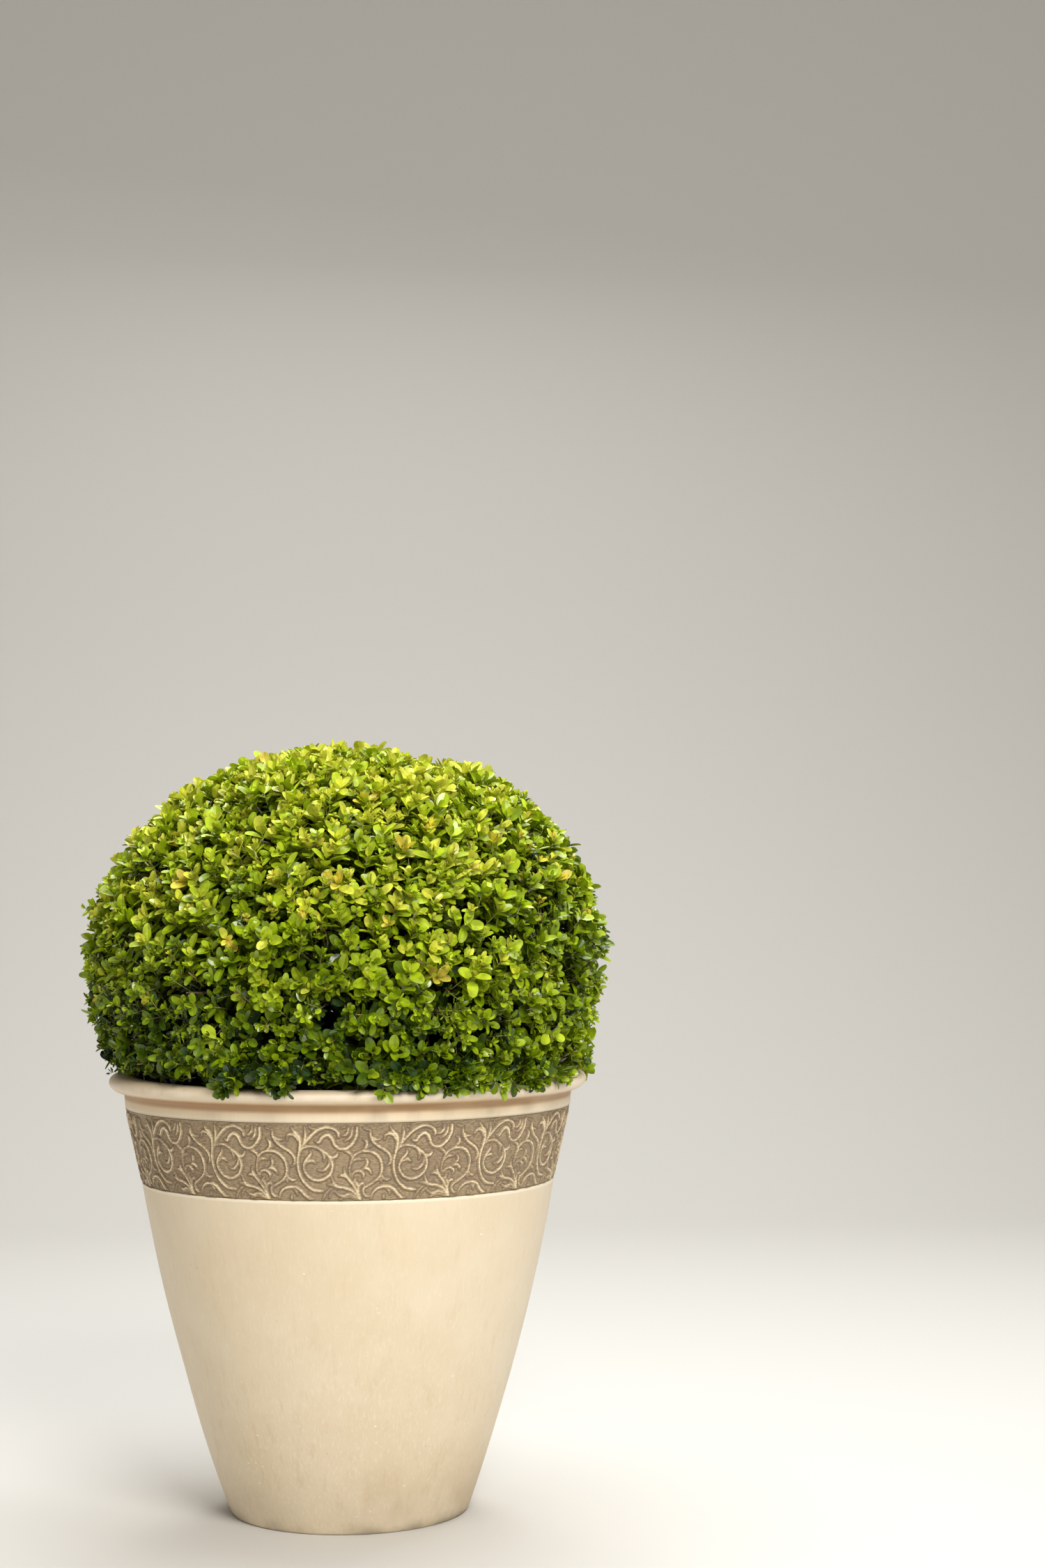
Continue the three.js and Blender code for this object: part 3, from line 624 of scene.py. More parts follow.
def scroll_band():
    """The band as five closed sectors of a ring: r is the ground's radius plus the relief.

    A sector has its carved face, a plain back and two flat ends, whose points lie on a chain up
    the back's edge. The relief dies out over the outer two rows.
    """
    rows, columns = 106, 132
    count = BAND_REPEATS // BAND_SECTORS * columns
    across = count + 1
    high_row, low_row = rows * across, (rows + 1) * across
    low, high = BAND_FOOT + GAP, BAND_TOP - GAP
    z = np.linspace(low, high, rows)
    inner = z[1:-1]
    heights = np.concatenate([z, [high, low]])[:, None]
    step = np.arange(across)
    fade = np.minimum(1, np.minimum(np.arange(rows), np.arange(rows)[::-1]) / 2.0)[:, None]
    relief = relief_tile(rows, columns)[:, step % columns] * fade
    quads = grid_quads(rows + 2, across, close_rows=True).reshape(rows + 2, count, 4)
    material = band_finish()
    for sector in range(BAND_SECTORS):
        first = np.radians(BAND_START) + 2 * np.pi * sector / BAND_SECTORS
        angle = first + step * 2 * np.pi / (BAND_REPEATS * columns)
        uneven = 0.16 * ripple(round_axis(BAND_RADIUS, angle, z[:, None]), 9.0, 11)
        ground = outer_radius(z)[:, None] - GROUND_SINK + uneven
        ground += 1.1 * climb(z, high - 3.0, 3.0)[:, None]
        back = back_radius(z[[-1, 0]])[:, None] + 0 * angle
        radii = np.concatenate([ground + RELIEF_RISE * relief, back])
        points = round_axis(radii, angle, heights).reshape(-1, 3)
        uv = np.broadcast_arrays(BAND_RADIUS * MM * angle, heights * MM)
        uv = np.stack(uv, axis=-1).reshape(-1, 2)
        values = np.concatenate([relief, np.zeros((2, across))]).ravel()
        blocks = [quads[np.arange(rows + 2) != rows].reshape(-1, 4), quads[rows, 1:-1]]
        chains = []
        for column in (0, count):
            chain = len(points) + np.arange(rows - 2)
            chain = np.concatenate([[low_row + column], chain, [high_row + column]])
            front = np.arange(rows) * across + column
            strip = np.stack([chain[:-1], front[:-1], front[1:], chain[1:]], axis=-1)
            blocks.append(strip[:, ::-1] if column else strip)
            chains.append(chain)
            points = np.concatenate([points, round_axis(back_radius(inner), angle[column], inner)])
            uv = np.concatenate([uv, np.repeat(uv[[low_row + column]], rows - 2, axis=0)])
            values = np.concatenate([values, np.zeros(rows - 2)])
        sharp = np.zeros(len(points), bool)
        sharp[:(rows + 2) * across].reshape(rows + 2, -1)[:, [0, -1]] = True
        before_last = [low_row + count - 1, high_row + count - 1]
        blocks.append(np.concatenate([chains[0], [high_row + 1, low_row + 1]])[None])
        blocks.append(np.concatenate([chains[1][::-1], before_last])[None])
        make_piece(f"scroll_band_{sector + 1}", points, blocks, material, "scroll_band",
                   "scroll_band", uv, values, folded=sharp)


def soil_top(inward):
    """The soil's height at a distance in from its edge: an even slope up to a flat middle."""
    return SOIL_EDGE + (SOIL_CROWN - SOIL_EDGE) * climb(inward, 0, SOIL_SLOPE)


def lumpy(points):
    """Three sizes of ripple over the soil's top, none of it within 30 mm of the middle."""
    lump = sum(height * ripple(points, size, seed)
               for height, size, seed in ((1.6, 34.0, 21), (0.9, 11.0, 22), (0.5, 5.0, 23)))
    on_top = (np.arange(len(points)) > 14)[:, None]
    near_trunk = climb(np.hypot(points[..., 0], points[..., 1]), 30, 25)
    points[..., 2] += on_top * near_trunk * np.minimum(lump, 2.5)
    return points


def soil():
    """The potting mix: a body against the planter's inner wall, and a lumpy top with crumbs."""
    side = np.linspace(FLOOR_THICKNESS + GAP, SOIL_EDGE, 12)
    rim = outer_radius(side) - WALL_THICKNESS - GAP - 0.3
    radii = np.linspace(rim[-1], 4, 70)[1:]
    profile = np.concatenate([wall([60.0], side[:1]), wall(rim, side),
                              wall(radii, soil_top(rim[-1] - radii))])
    points, faces = turned_piece(profile, columns=180, shape=lumpy)
    finish = soil_finish()
    make_piece("potting_soil", points, faces, finish, "soil", "soil")

    random = np.random.default_rng(5)
    angle = random.uniform(0, 2 * np.pi, CRUMBS)
    radius = CRUMBS_RADIUS * np.sqrt(random.uniform(0.03, 1, CRUMBS))
    size = random.uniform(1.4, 4.6, (CRUMBS, 1, 1))
    corners = np.array([[1, 0, 0], [0, 1, 0], [-1, 0, 0], [0, -1, 0], [0, 0, 1], [0, 0, -1],
                        [.6, .6, .5], [-.6, .6, -.5]])
    crumb = corners * random.uniform(0.7, 1.25, (CRUMBS, 8, 3)) * size
    height = soil_top(CRUMBS_EDGE - radius) + CRUMB_LIFT
    middle = np.stack([radius * np.cos(angle), radius * np.sin(angle), height], 1)
    points = (crumb + middle[:, None]).reshape(-1, 3)
    shape = np.array([[0, 6, 4], [6, 1, 4], [1, 2, 4], [2, 3, 4], [3, 0, 4], [0, 1, 6],
                      [1, 0, 5], [1, 5, 7], [7, 5, 2], [1, 7, 2], [2, 5, 3], [3, 5, 0]])
    faces = (shape[None] + 8 * np.arange(CRUMBS)[:, None, None]).reshape(-1, 3)
    make_piece("soil_crumbs", points, [faces], finish, "soil", "soil", smooth=False)


def trunk():
    """The short trunk: a leaning taper with bark ridges along it.

    Its foot flares by up to 13 mm in five lobes, dying away as the sixth power of the height left.
    """
    rows, sides = 46, 120
    share = np.linspace(0, 1, rows)[:, None]
    angle = (np.arange(sides) * 2 * np.pi / sides)[None, :]
    girth = TRUNK_FOOT_RADIUS + (TRUNK_TIP_RADIUS - TRUNK_FOOT_RADIUS) * share
    flare = 13.0 * (1 - share) ** 6 * (0.6 + 0.4 * np.cos(5 * angle))
    bark_space = np.broadcast_arrays(17 * np.cos(angle), 17 * np.sin(angle), 11 * share)
    bark_space = np.stack(bark_space, axis=-1)
    ridge = 0.7 * ripple(bark_space, 3.6, 31) + 0.4 * ripple(bark_space * [1, 1, 3], 2.0, 32)
    radius = girth + flare + ridge - 0.6
    x = radius * np.cos(angle) + TRUNK_LEAN[0] * share
    y = radius * np.sin(angle) + TRUNK_LEAN[1] * share
    z = TRUNK_FOOT + TRUNK_HEIGHT * share + 0 * angle
    points = np.concatenate([np.stack([x, y, z], axis=-1).reshape(-1, 3), [[0, 0, TRUNK_FOOT]],
                             [[*TRUNK_LEAN, TRUNK_FOOT + TRUNK_HEIGHT]]])
    bark = bark_finish("trunk_bark", (158, 142, 114), (92, 78, 58))
    make_piece("trunk_bark", points, capped(rows, sides), bark, "bark", "trunk")


def unit(vectors):
    """The vectors at length 1."""
    return vectors / np.linalg.norm(vectors, axis=-1, keepdims=True)


def crown_reach(look):
    """How far the clipped outline lies from the crown's centre along each unit direction."""
    rise = np.where(look[..., 2] > 0, CROWN_RISE, CROWN_DROP)
    across = np.hypot(look[..., 0], look[..., 1]) / CROWN_RADIUS
    reach = 1 / np.hypot(across, look[..., 2] / rise)
    facing = look @ unit(SWELLINGS[:, :3]).T
    return reach * (1 + np.exp(-9 * (1 - facing)) @ SWELLINGS[:, 3])


def outline_point(look, share):
    """The points at a share of the reach along unit directions from the crown's centre."""
    return CROWN_CENTRE + look * (share * crown_reach(look))[..., None]


def seeded(seed, count):
    """The part's own repeatable stream of numbers from 0 to 1."""
    mask, state, stream = 0xFFFFFFFF, seed, []
    for _ in range(count):
        state = (state + 0x6D2B79F5) & mask
        mixed = ((state ^ (state >> 15)) * (1 | state)) & mask
        mixed = (mixed + (((mixed ^ (mixed >> 7)) * (61 | mixed)) & mask)) & mask ^ mixed
        stream.append(((mixed ^ (mixed >> 14)) & mask) / 4294967296)
    return np.array(stream)


def spread_looks(count, lowest):
    """Directions spread evenly over the dome by the golden angle."""
    n = np.arange(count)
    sine = lowest + (1 - lowest) * (n + 0.5) / count
    across = np.sqrt(1 - sine**2)
    return np.stack([across * np.cos(n * GOLDEN_ANGLE), across * np.sin(n * GOLDEN_ANGLE), sine], 1)


def nearest(points, others):
    """The number of the nearest of the others to each point."""
    gaps = ((points[:, None] - others[None]) ** 2).sum(axis=-1)
    return gaps.argmin(axis=1)


def pot_depth(points):
    """How far points lie inside the planter's rim or wall, in mm, or below zero when clear.

    The rim counts as an ellipse 37 mm wide and 23 mm high, and the wall as 1 mm thicker within
    and 1.5 mm thicker outside.
    """
    radius, z = np.hypot(points[..., 0], points[..., 1]), points[..., 2]
    ring = 1 - np.hypot((radius - 262.5) / 18.5, (z - 500.0) / 11.5)
    inner = np.minimum(radius - (outer_radius(z) - WALL_THICKNESS - 1), 488 - z)
    outer = np.minimum(inner, outer_radius(z) + 1.5 - radius)
    return np.maximum(ring * 15, outer)


def side_vectors(along):
    """Two unit vectors square to each direction."""
    side = unit(np.cross(np.roll(along, -1, axis=-1) + [0.1, 0.3, 0.2], along))
    return side, np.cross(along, side)


def bowed(roots, tips, bow, random):
    """Paths of four points from root to tip, each bowed a little to one side at its middle."""
    side, other = side_vectors(unit(tips - roots))
    length = np.linalg.norm(tips - roots, axis=1, keepdims=True)
    lean = random.uniform(-bow, bow, (len(roots), 2)) * length
    share = np.array([0.0, 0.33, 0.67, 1.0])[None, :, None]
    bend = (side * lean[:, :1] + other * lean[:, 1:])[:, None]
    return roots[:, None] + (tips - roots)[:, None] * share + bend * 4 * share * (1 - share)


def tapered(paths, thick, thin, sides):
    """Closed tapering sticks along paths of points: a ring of sides round every point."""
    count, rings = paths.shape[:2]
    side, other = side_vectors(unit(paths[:, -1] - paths[:, 0]))
    turn = np.arange(sides) * 2 * np.pi / sides
    ring = side[:, None] * np.cos(turn)[:, None] + other[:, None] * np.sin(turn)[:, None]
    radius = np.linspace(thick, thin, rings)
    points = paths[:, :, None] + radius[None, :, None, None] * ring[:, None]
    start = sides * rings * np.arange(count)[:, None, None]
    quads = (grid_quads(rings, sides, close_columns=True)[None] + start).reshape(-1, 4)
    foot = np.arange(sides)[::-1][None] + start[:, 0]
    tip = np.arange((rings - 1) * sides, rings * sides)[None] + start[:, 0]
    return points.reshape(-1, 3), [quads, foot, tip]


def joined(groups):
    """Several (points, blocks of faces) as one."""
    points, blocks, start = [], [], 0
    for group_points, group_blocks in groups:
        points.append(group_points)
        blocks += [block + start for block in group_blocks]
        start += len(group_points)
    return np.concatenate(points), blocks


def grow():
    """The limbs, shell by shell: each tip joins the nearest tip of the shell inside it."""
    stream = iter(seeded(SEED, 4 * sum(count for count, _, _ in SHELLS)).reshape(-1, 4))
    stem_foot = np.array([*TRUNK_LEAN, TRUNK_FOOT + TRUNK_HEIGHT + GAP])
    stem_foot[:2] *= (TRUNK_HEIGHT + GAP) / TRUNK_HEIGHT
    forks = np.array([[stem_foot[0], stem_foot[1], STEM_HEAD]])
    limbs = [(stem_foot[None], forks, 14.5, 13.0)]
    for count, share, radius in SHELLS:
        draws = np.array([next(stream) for _ in range(count)])
        looks = unit(spread_looks(count, LOWEST_LOOK) + TIP_WANDER * (draws[:, :3] - 0.5))
        tips = outline_point(looks, share - 0.03 * draws[:, 3])
        thin = 0.7 * radius if share < 0.9 else 0.8
        limbs.append((forks[nearest(tips, forks)], tips, radius, thin))
        forks = tips
    return limbs


# Finer shells, with the number of leafy shoots, the share of the reach and its spread, the
# lowest direction, the length of a shoot's leafy part in mm, its thickness at the root, the
# size of its leaves, and how far inside the crown it lies, which darkens its leaves as painted
# shade
FINE_SHELLS = [
    (860, 0.83, 0.035, -0.46, 46.0, 1.9, 1.1, 1.0),
    (2150, 0.935, 0.018, -0.50, 38.0, 1.05, 0.96, 0.0),
    (1650, 0.94, 0.024, -0.50, 22.0, 0.8, 0.54, 0.1),
]

# Sprays that hang over the rim: degrees from the front, spread in degrees, and how many
RIM_SPRAYS = [(-26, 1.8, 13), (-15.5, 2.4, 16), (12, 4, 18), (27, 6, 34), (44, 6, 26),
              (104, 12, 12), (147, 14, 18), (189, 14, 14), (232, 13, 18)]
SKIRT_SPRAYS, INNER_SHOOTS, INNER_LENGTH = 190, 300, 44.0


def wander(looks):
    """What the clipped outline adds to a shoot's share of the reach, along unit directions.

    A ripple runs all over it. It is fuller high up and low at the left, drawn in just above the
    rim, and shorn flatter at the very top and at the upper right.
    """
    x, y, up = looks.T
    shorn = np.exp(-((x - 0.32) / 0.17) ** 2 - (y / 0.5) ** 2) * (up > 0)
    return (0.014 * ripple(looks * 300, 95.0, 41) + 0.012 * climb(up, 0.4, 0.5)
            - 0.012 * climb(-up, 0.16, 0.26) - 0.014 * climb(up, 0.86, 0.12) - 0.042 * shorn
            + 0.02 * climb(-x, 0.7, 0.2) * climb(-up, 0.1, 0.2))


def ring_points(degrees, near, far, low, high, random):
    """Points at degrees from the front, with random radii and heights between the given ones."""
    radius = random.uniform(near, far, len(degrees))
    return round_axis(radius, np.radians(degrees), random.uniform(low, high, len(degrees)))


def shoots(limbs, random):
    """Leafy shoots as [roots, feet, tips, thickness, leaf size, depth], level by level.

    They stand upright above, and reach out or down below. Each grows from the nearest foot of
    a level before it. The last two levels are the crown's lowest sprays and those over the rim.
    """
    forks = np.concatenate([limbs[2][1], 0.45 * limbs[3][1] + 0.55 * limbs[3][0]])
    levels = []
    for count, share, spread, lowest, length, thick, size, depth in FINE_SHELLS:
        looks = unit(spread_looks(count, lowest) + 0.04 * random.normal(size=(count, 3)))
        reach = share + spread * random.normal(size=count).clip(-1.6, 1.4) + wander(looks)
        tips = outline_point(looks, reach)
        rising = np.clip(0.42 + 0.9 * looks[:, 2], -0.1, 0.8)[:, None]
        along = unit(looks + rising * [0, 0, 1] + 0.32 * random.normal(size=(count, 3)))
        feet = tips - along * length * random.uniform(0.8, 1.15, (count, 1))
        levels.append([forks[nearest(feet, forks)], feet, tips, thick, size, depth])
        forks = feet
    skirt = 360 / SKIRT_SPRAYS * np.arange(SKIRT_SPRAYS) + random.normal(0, 1.5, SKIRT_SPRAYS)
    feet = ring_points(skirt, 236, 252, 526, 552, random)
    tips = ring_points(skirt, 268, 284, 527, 556, random)
    levels.append([forks[nearest(feet, forks)], feet, tips, 1.0, 1.0, 0.1])
    over_rim = np.concatenate([random.normal(*spray) for spray in RIM_SPRAYS])
    feet = ring_points(over_rim, 259, 270, 520, 538, random)
    tips = ring_points(over_rim, 281, 292, 505, 527, random)
    levels.append([forks[nearest(feet, forks)], feet, tips, 0.9, 0.95, 0.35])
    return levels


def inner_shoots(limbs, random):
    """One more level of shoots, on the inner limbs, that closes the view through the crown."""
    looks = unit(spread_looks(INNER_SHOOTS, -0.5) + 0.1 * random.normal(size=(INNER_SHOOTS, 3)))
    tips = outline_point(looks, random.uniform(0.32, 0.70, INNER_SHOOTS))
    feet = tips - INNER_LENGTH * unit(looks + 0.5 * random.normal(size=looks.shape))
    forks = np.concatenate([limbs[1][1], limbs[2][1]])
    return [forks[nearest(feet, forks)], feet, tips, 1.6, 1.3, 2.0]


def sticks(name, groups, bark, light, dark, slot="bark"):
    """Groups of tapered sticks as one piece of the crown, in a bark of two screen colours."""
    make_piece(name, *joined(groups), bark_finish(bark, light, dark), slot, "clipped_crown")


def crown():
    """The clipped dome: boughs, twigs and leafy shoots, all grown out from the short stem."""
    random, hidden = np.random.default_rng(77), np.random.default_rng(78)
    limbs = grow()
    boughs = [tapered(bowed(roots, tips, 0.03, random), thick, thin, sides=8)
              for roots, tips, thick, thin in limbs]
    levels, inner = shoots(limbs, random), inner_shoots(limbs, hidden)
    twigs, stems = [], []
    for level in (*levels, inner):
        roots, feet, tips, thick, _, _ = level
        draws = hidden if level is inner else random
        keep = (pot_depth(feet) < -1) & (pot_depth(tips) < -1)
        paths = bowed(roots[keep], feet[keep], 0.07, draws)
        twigs.append(tapered(paths, thick, 0.8 * thick, sides=3))
        along = np.stack([feet, 0.5 * (feet + tips), tips], axis=1)[keep]
        stems.append(tapered(along, 0.8 * thick, 0.45 * thick, sides=3))
    sticks("boughs", boughs, "bough_bark", (124, 108, 84), (70, 58, 42))
    sticks("twigs", twigs, "twig_bark", (122, 98, 70), (74, 60, 40))
    sticks("leafy_shoots", stems, "shoot_bark", (186, 176, 98), (136, 134, 60), "foliage")
    clipped_ends(levels[1], random)
    foliage(levels, random, whorls_of(inner, hidden))


def clipped_ends(level, random):
    """Bare twig ends: straight stubs where the shears have been, and thin pale dry ones."""
    feet, tips = level[1], level[2]
    for name, count, bow, thick, thin, light, dark in (
            ("clipped_stubs", 230, 0.03, 1.15, 0.95, (196, 174, 108), (150, 130, 72)),
            ("dry_twigs", 520, 0.20, 0.7, 0.45, (222, 208, 172), (168, 148, 108))):
        chosen = random.choice(len(tips), count, replace=False)
        reach = random.uniform(0.6, 1.12, (count, 1))
        ends = feet[chosen] + (tips - feet)[chosen] * reach + 3.0 * random.normal(size=(count, 3))
        keep = pot_depth(ends) < -1
        paths = bowed(feet[chosen][keep], ends[keep], bow, random)
        sticks(name, [tapered(paths, thick, thin, sides=5)], name, light, dark)


# Leaf greens, from the old leaves inside to the new ones at the tips. whorls_of also deals the
# darker ones out as painted shade deep inside and low down, and the lighter ones as painted light
# high up
GREENS = [
    ("shade", rgb(26, 39, 5), 0.40),
    ("deep", rgb(39, 58, 4), 0.36),
    ("bluish", rgb(48, 72, 34), 0.34),
    ("dark", rgb(67, 91, 4), 0.32),
    ("mid", rgb(96, 119, 8), 0.32),
    ("green", rgb(124, 147, 10), 0.32),
    ("bright", rgb(152, 173, 20), 0.33),
    ("lime", rgb(176, 195, 38), 0.35),
    ("yellow", rgb(202, 205, 66), 0.37),
    ("amber", rgb(205, 188, 62), 0.40),
]
LEAVES_A_PIECE = 9500
LONGEST_LEAF = 24.0
ON_RIM = 505.0  # a leaf with its foot above this lies flat where it would cut into the rim
LOWEST_LEAF = 486.0
SKIRT_TOP, SKIRT_PROUD = 530.0, 26.0  # under this height, leaves stand out this far at most

# Each whorl of a shoot: its place along the shoot from the tip, its lean from the shoot in
# radians, the size of its leaves, and how many steps of green it lies from the shoot's own
WHORLS = [
    (0.0, 0.36, 0.52, 1.2),
    (0.05, 0.78, 0.80, 0.7),
    (0.17, 1.02, 1.00, 0.1),
    (0.36, 1.16, 1.04, -0.5),
    (0.58, 1.26, 1.00, -1.3),
    (0.84, 1.36, 0.92, -2.2),
]


def leaf_template(edge_places, rib_places):
    """A folded leaf as (along, across, up) in its length: an edge down each side, a rib between.

    The half width at t is sqrt(4t(1 - t)), an ellipse, pinched towards the stalk by 0.1 + 2.6t.
    Triangles join each edge to the rib, taking whichever has the next point nearer the stalk.
    """
    t, rib = np.array(edge_places), np.array(rib_places)
    half = np.sqrt(4 * t * (1 - t)) * np.minimum(1, 0.1 + 2.6 * t)
    side = np.stack([t, half, 0.04 * t + 0.09 * half], axis=1)
    middle = np.stack([rib, 0 * rib, 0.04 * rib - 0.012], axis=1)
    points = np.concatenate([[[0, 0, 0]], side * [1, -1, 1], middle, side, [[0.985, 0, 0.04]]])
    last, along = len(points) - 1, points[:, 0]
    ribs = [0, *range(len(t) + 1, len(t) + len(rib) + 1), last]
    faces = []
    for first, turned in ((1, False), (last - len(t), True)):
        edge, e, r = [0, *range(first, first + len(t)), last], 0, 0
        while e < len(edge) - 1 or r < len(ribs) - 1:
            on_edge = r == len(ribs) - 1 or (
                e < len(edge) - 1 and along[edge[e + 1]] <= along[ribs[r + 1]])
            face = [edge[e], ribs[r], edge[e + 1] if on_edge else ribs[r + 1]]
            e, r = (e + 1, r) if on_edge else (e, r + 1)
            if len(set(face)) == 3:
                faces.append(face[::-1] if turned else face)
    return points, np.array(faces)


def leaves_from(feet, forward, upward, length, width, droop, template):
    """The corners of every leaf: foot + along + across + up, with the tip curling down."""
    across = np.cross(forward, upward)
    t, s, u = template[:, 0], template[:, 1], template[:, 2]
    lift = u[None] * length[:, None] - droop[:, None] * length[:, None] * t**2
    return (feet[:, None] + forward[:, None] * (t[None, :, None] * length[:, None, None])
            + across[:, None] * (s[None, :, None] * 0.5 * width[:, None, None])
            + upward[:, None] * lift[..., None])


def whorls_of(level, random):
    """The leaves of one level's shoots, as rows of equal length for each of their measures.

    A leaf's shade is its place in GREENS. A shoot's own starts at 6.1 and rises with height, as
    painted light. It falls, as painted shade, in the depth, on both flanks, at the very top, and
    low down, though not at the right. A few young shoots are yellow or amber.
    """
    _, shoot_feet, tips, _, scale, depth = level
    count = len(tips)
    shoot = tips - shoot_feet
    along = unit(shoot)
    side, other = side_vectors(along)
    look = unit(tips - CROWN_CENTRE)
    x, up = look[:, 0], look[:, 2]
    right, low = x.clip(0, 1), climb(CROWN_CENTRE[2] - tips[:, 2], 0, 90)

    def wobble(amount):
        return amount * random.normal(size=count)

    # Painted light and shade: lighter high up, darker deep inside, low down (though not at the
    # right), on both flanks and at the very top
    light = (6.1 + 1.5 * up + 0.5 * x - 1.3 * right**2 + 0.38 * ripple(look * 300, 105.0, 51)
             - 2.4 * depth + wobble(0.8) - low * (1.5 - 2.7 * right)
             - 0.8 * climb(x, 0.5, 0.4) * (1 - low) - 0.4 * climb(up, 0.8, 0.2))
    chance = 0.012 * (up > -0.2) + 0.03 * (up > 0.1) * (1 + (x > 0)) * (2 if scale < 0.8 else 0.7)
    fresh = random.uniform(size=count) < chance
    start = random.uniform(0, 2 * np.pi, count)
    size0 = scale * (15.4 + 7.6 * climb(up, -0.25, 1))
    size0 *= (1 + wobble(0.22)).clip(0.55, 1.3)
    rows = []
    for w, (place, lean, size, step) in enumerate(WHORLS):
        for half in (0, 1):
            turn = start + w * np.pi / 2 + half * np.pi + wobble(0.25)
            outward = side * np.cos(turn)[:, None] + other * np.sin(turn)[:, None]
            tilt = (lean + wobble(0.18))[:, None]
            ahead = unit(along * np.cos(tilt) + outward * np.sin(tilt) + [0, 0, 0.08])
            face = np.cross(np.cross(ahead, along), ahead)
            face = unit(face + 0.22 * random.normal(size=(count, 3)) + [0, 0, 0.15])
            face = unit(face - ahead * (face * ahead).sum(axis=1, keepdims=True))
            long = size0 * size * (1 + wobble(0.13)).clip(0.6, 1.25)
            long = np.minimum(long, LONGEST_LEAF - 2.0 * (size0 % 1))
            shade = light + step + wobble(0.4)
            shade += low * (2.9 * (random.uniform(size=count) < 0.13) - 0.5)
            shade = np.minimum(shade.clip(0, 8), 8 - 1.6 * low)
            shade = np.where(fresh & (w < 3), 8.6 + wobble(0.6), shade)
            rows.append((tips - shoot * place, ahead, face, long,
                         long * random.uniform(0.47, 0.66, count),
                         random.uniform(-0.03, 0.15, count), shade,
                         random.uniform(2, 12, count)))
    return [np.concatenate(column) for column in zip(*rows)]


def foliage(levels, random, inner):
    """Opposite leaves in crossed pairs down every shoot, sorted into pieces by their green.

    A leaf above the rim that meets the planter is turned to rise gently, face up. A leaf is left
    out where it still meets the planter, hangs too low or stands too far out of the outline.
    """
    finishes = [leaf_finish(f"leaf_{name}", colour, rough) for name, colour, rough in GREENS]
    deep, outer, small, skirt, rim = [whorls_of(level, random) for level in levels]
    kinds = [("leaves", (0.07, 0.18, 0.33, 0.52, 0.71, 0.86, 0.95), (0.20, 0.50, 0.80),
              (outer, skirt, rim)),
             ("small_leaves", (0.11, 0.28, 0.53, 0.78, 0.93), (0.5,), (deep, small, inner))]
    for kind, edge_places, rib_places, groups in kinds:
        template, triangles = leaf_template(edge_places, rib_places)
        feet, ahead, face, length, width, droop, shade, proud = map(np.concatenate, zip(*groups))
        points = leaves_from(feet, ahead, face, length, width, droop, template)
        pressed = (pot_depth(points) > -0.3).any(axis=1) & (feet[:, 2] > ON_RIM)
        ahead[pressed] = unit(ahead[pressed] * [1, 1, 0] + [0, 0, 0.4])
        face[pressed] = unit([0, 0, 1] - ahead[pressed] * ahead[pressed][:, 2:])
        points = leaves_from(feet, ahead, face, length, width, droop, template)
        tips = points[:, -1]
        look = unit(tips - CROWN_CENTRE)
        beyond = np.linalg.norm(tips - CROWN_CENTRE, axis=1) - crown_reach(look)
        clear = (pot_depth(points) < -0.3).all(axis=1) & (points[..., 2] > LOWEST_LEAF).all(axis=1)
        clear &= beyond < np.where(tips[:, 2] > SKIRT_TOP, proud, SKIRT_PROUD)
        number = np.round(shade).astype(int).clip(0, len(GREENS) - 1)
        for n, (name, _, _) in enumerate(GREENS):
            chosen = points[clear & (number == n)]
            for part in range(0, len(chosen), LEAVES_A_PIECE):
                some = chosen[part:part + LEAVES_A_PIECE]
                start = len(template) * np.arange(len(some))[:, None, None]
                faces = (triangles[None] + start).reshape(-1, 3)
                make_piece(f"{kind}_{name}_{part // LEAVES_A_PIECE + 1}", some.reshape(-1, 3),
                           [faces], finishes[n], "foliage", "clipped_crown",
                           folded=np.tile(template[:, 1] == 0, len(some)))


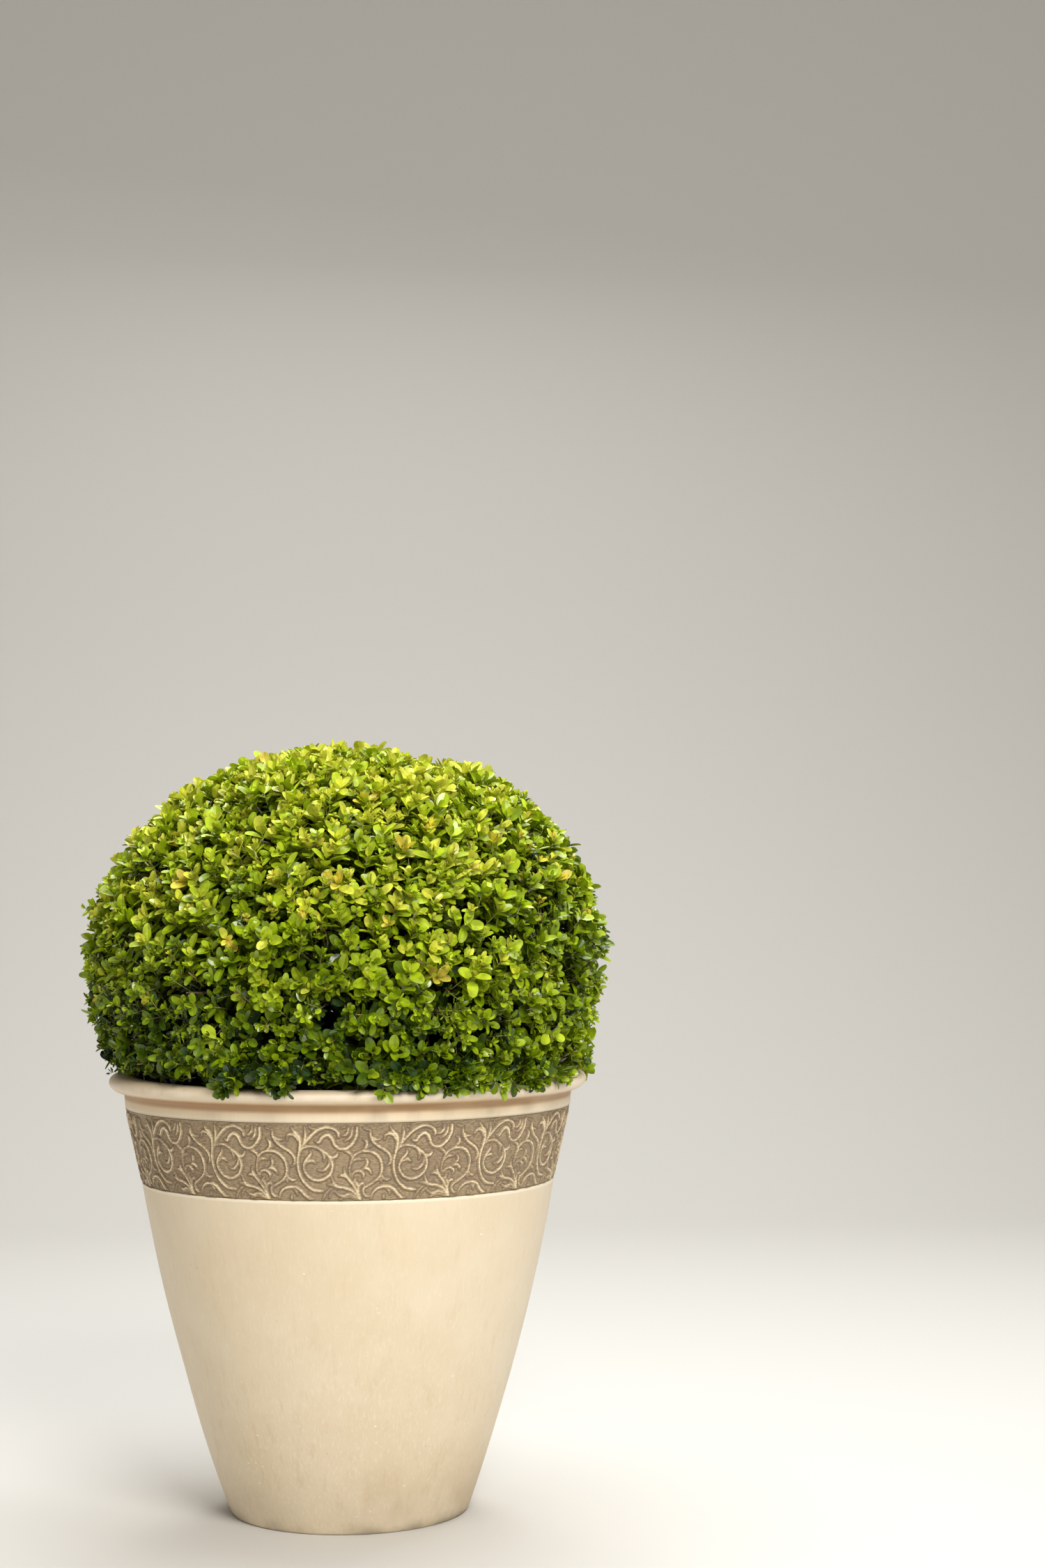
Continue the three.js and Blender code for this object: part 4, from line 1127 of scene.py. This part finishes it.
def floor():
    """A pale floor that sweeps up into a backdrop far behind: y, then height by a quarter turn."""
    turn = np.linspace(0.1, 1.57, 16)
    y = np.concatenate([np.linspace(-5000, 2500, 8), 2500 + 1500 * np.sin(turn), [4000.0] * 3])
    z = np.concatenate([np.zeros(8), 1500 * (1 - np.cos(turn)), [2200.0, 3200.0, 4500.0]])
    x = np.linspace(-6000, 6000, 3)
    points = np.stack(np.broadcast_arrays(x, y[:, None], z[:, None]), axis=-1).reshape(-1, 3)
    mesh = bpy.data.meshes.new("studio_floor")
    mesh.from_pydata((points * MM).tolist(), [], grid_quads(len(y), len(x)).tolist())
    mesh.polygons.foreach_set("use_smooth", np.full(len(mesh.polygons), True))
    finish = Finish("pale_floor")
    mesh.materials.append(finish.surface(Base_Color=rgb(211, 209, 204), Roughness=0.9))
    put_in_scene("studio_floor", mesh)


def lamp(name, place, aim, size, watts, colour):
    """A soft square lamp at a place, aimed at a point."""
    light = bpy.data.lights.new(name, "AREA")
    light.shape, light.size, light.energy, light.color = "SQUARE", size, watts, colour
    way = Vector(aim) - Vector(place)
    put_in_scene(name, light).matrix_world = (
        Matrix.Translation(place) @ way.to_track_quat("-Z", "Y").to_matrix().to_4x4())


def studio():
    """Four soft lamps and a pale surrounding light."""
    lamp("key", (0.95, -2.85, 2.5), (0, 0, 0.5), 1.5, 108, (1.0, 0.985, 0.955))
    lamp("fill", (-2.4, -2.4, 1.2), (0, 0, 0.45), 2.2, 6.5, (1.0, 0.86, 0.70))
    lamp("sky", (0.3, 0.5, 3.2), (0, 0, 0.6), 2.4, 98, (0.98, 0.99, 1.0))
    lamp("back", (0.1, 2.8, 3.5), (0, 0, 0.5), 1.5, 34, (1.0, 0.98, 0.95))
    world = bpy.data.worlds.new("pale_room")
    world.use_nodes = True
    back = world.node_tree.nodes["Background"]
    back.inputs["Color"].default_value = (1.0, 0.96, 0.90, 1.0)
    back.inputs["Strength"].default_value = 0.295
    bpy.context.scene.world = world
    bpy.context.scene.view_settings.view_transform = "Standard"


def camera():
    """The photograph's view: 3.2 m away at 0.74 m, looking a little up and to the right."""
    lens = bpy.data.cameras.new("camera")
    lens.lens, lens.sensor_width, lens.sensor_fit = 62.4, 36.0, "AUTO"
    lens.clip_start, lens.clip_end = 0.05, 50.0
    eye = put_in_scene("camera", lens)
    pitch, yaw, roll = np.radians([1.975, 3.680, 0.266])
    eye.matrix_world = (Matrix.Translation((0, -3.2176, 0.7359))
                        @ Matrix.Rotation(-yaw, 4, "Z")
                        @ Matrix.Rotation(np.pi / 2 + pitch, 4, "X")
                        @ Matrix.Rotation(-roll, 4, "Z"))
    bpy.context.scene.camera = eye


camera()
studio()
floor()
planter()
scroll_band()
soil()
trunk()
crown()
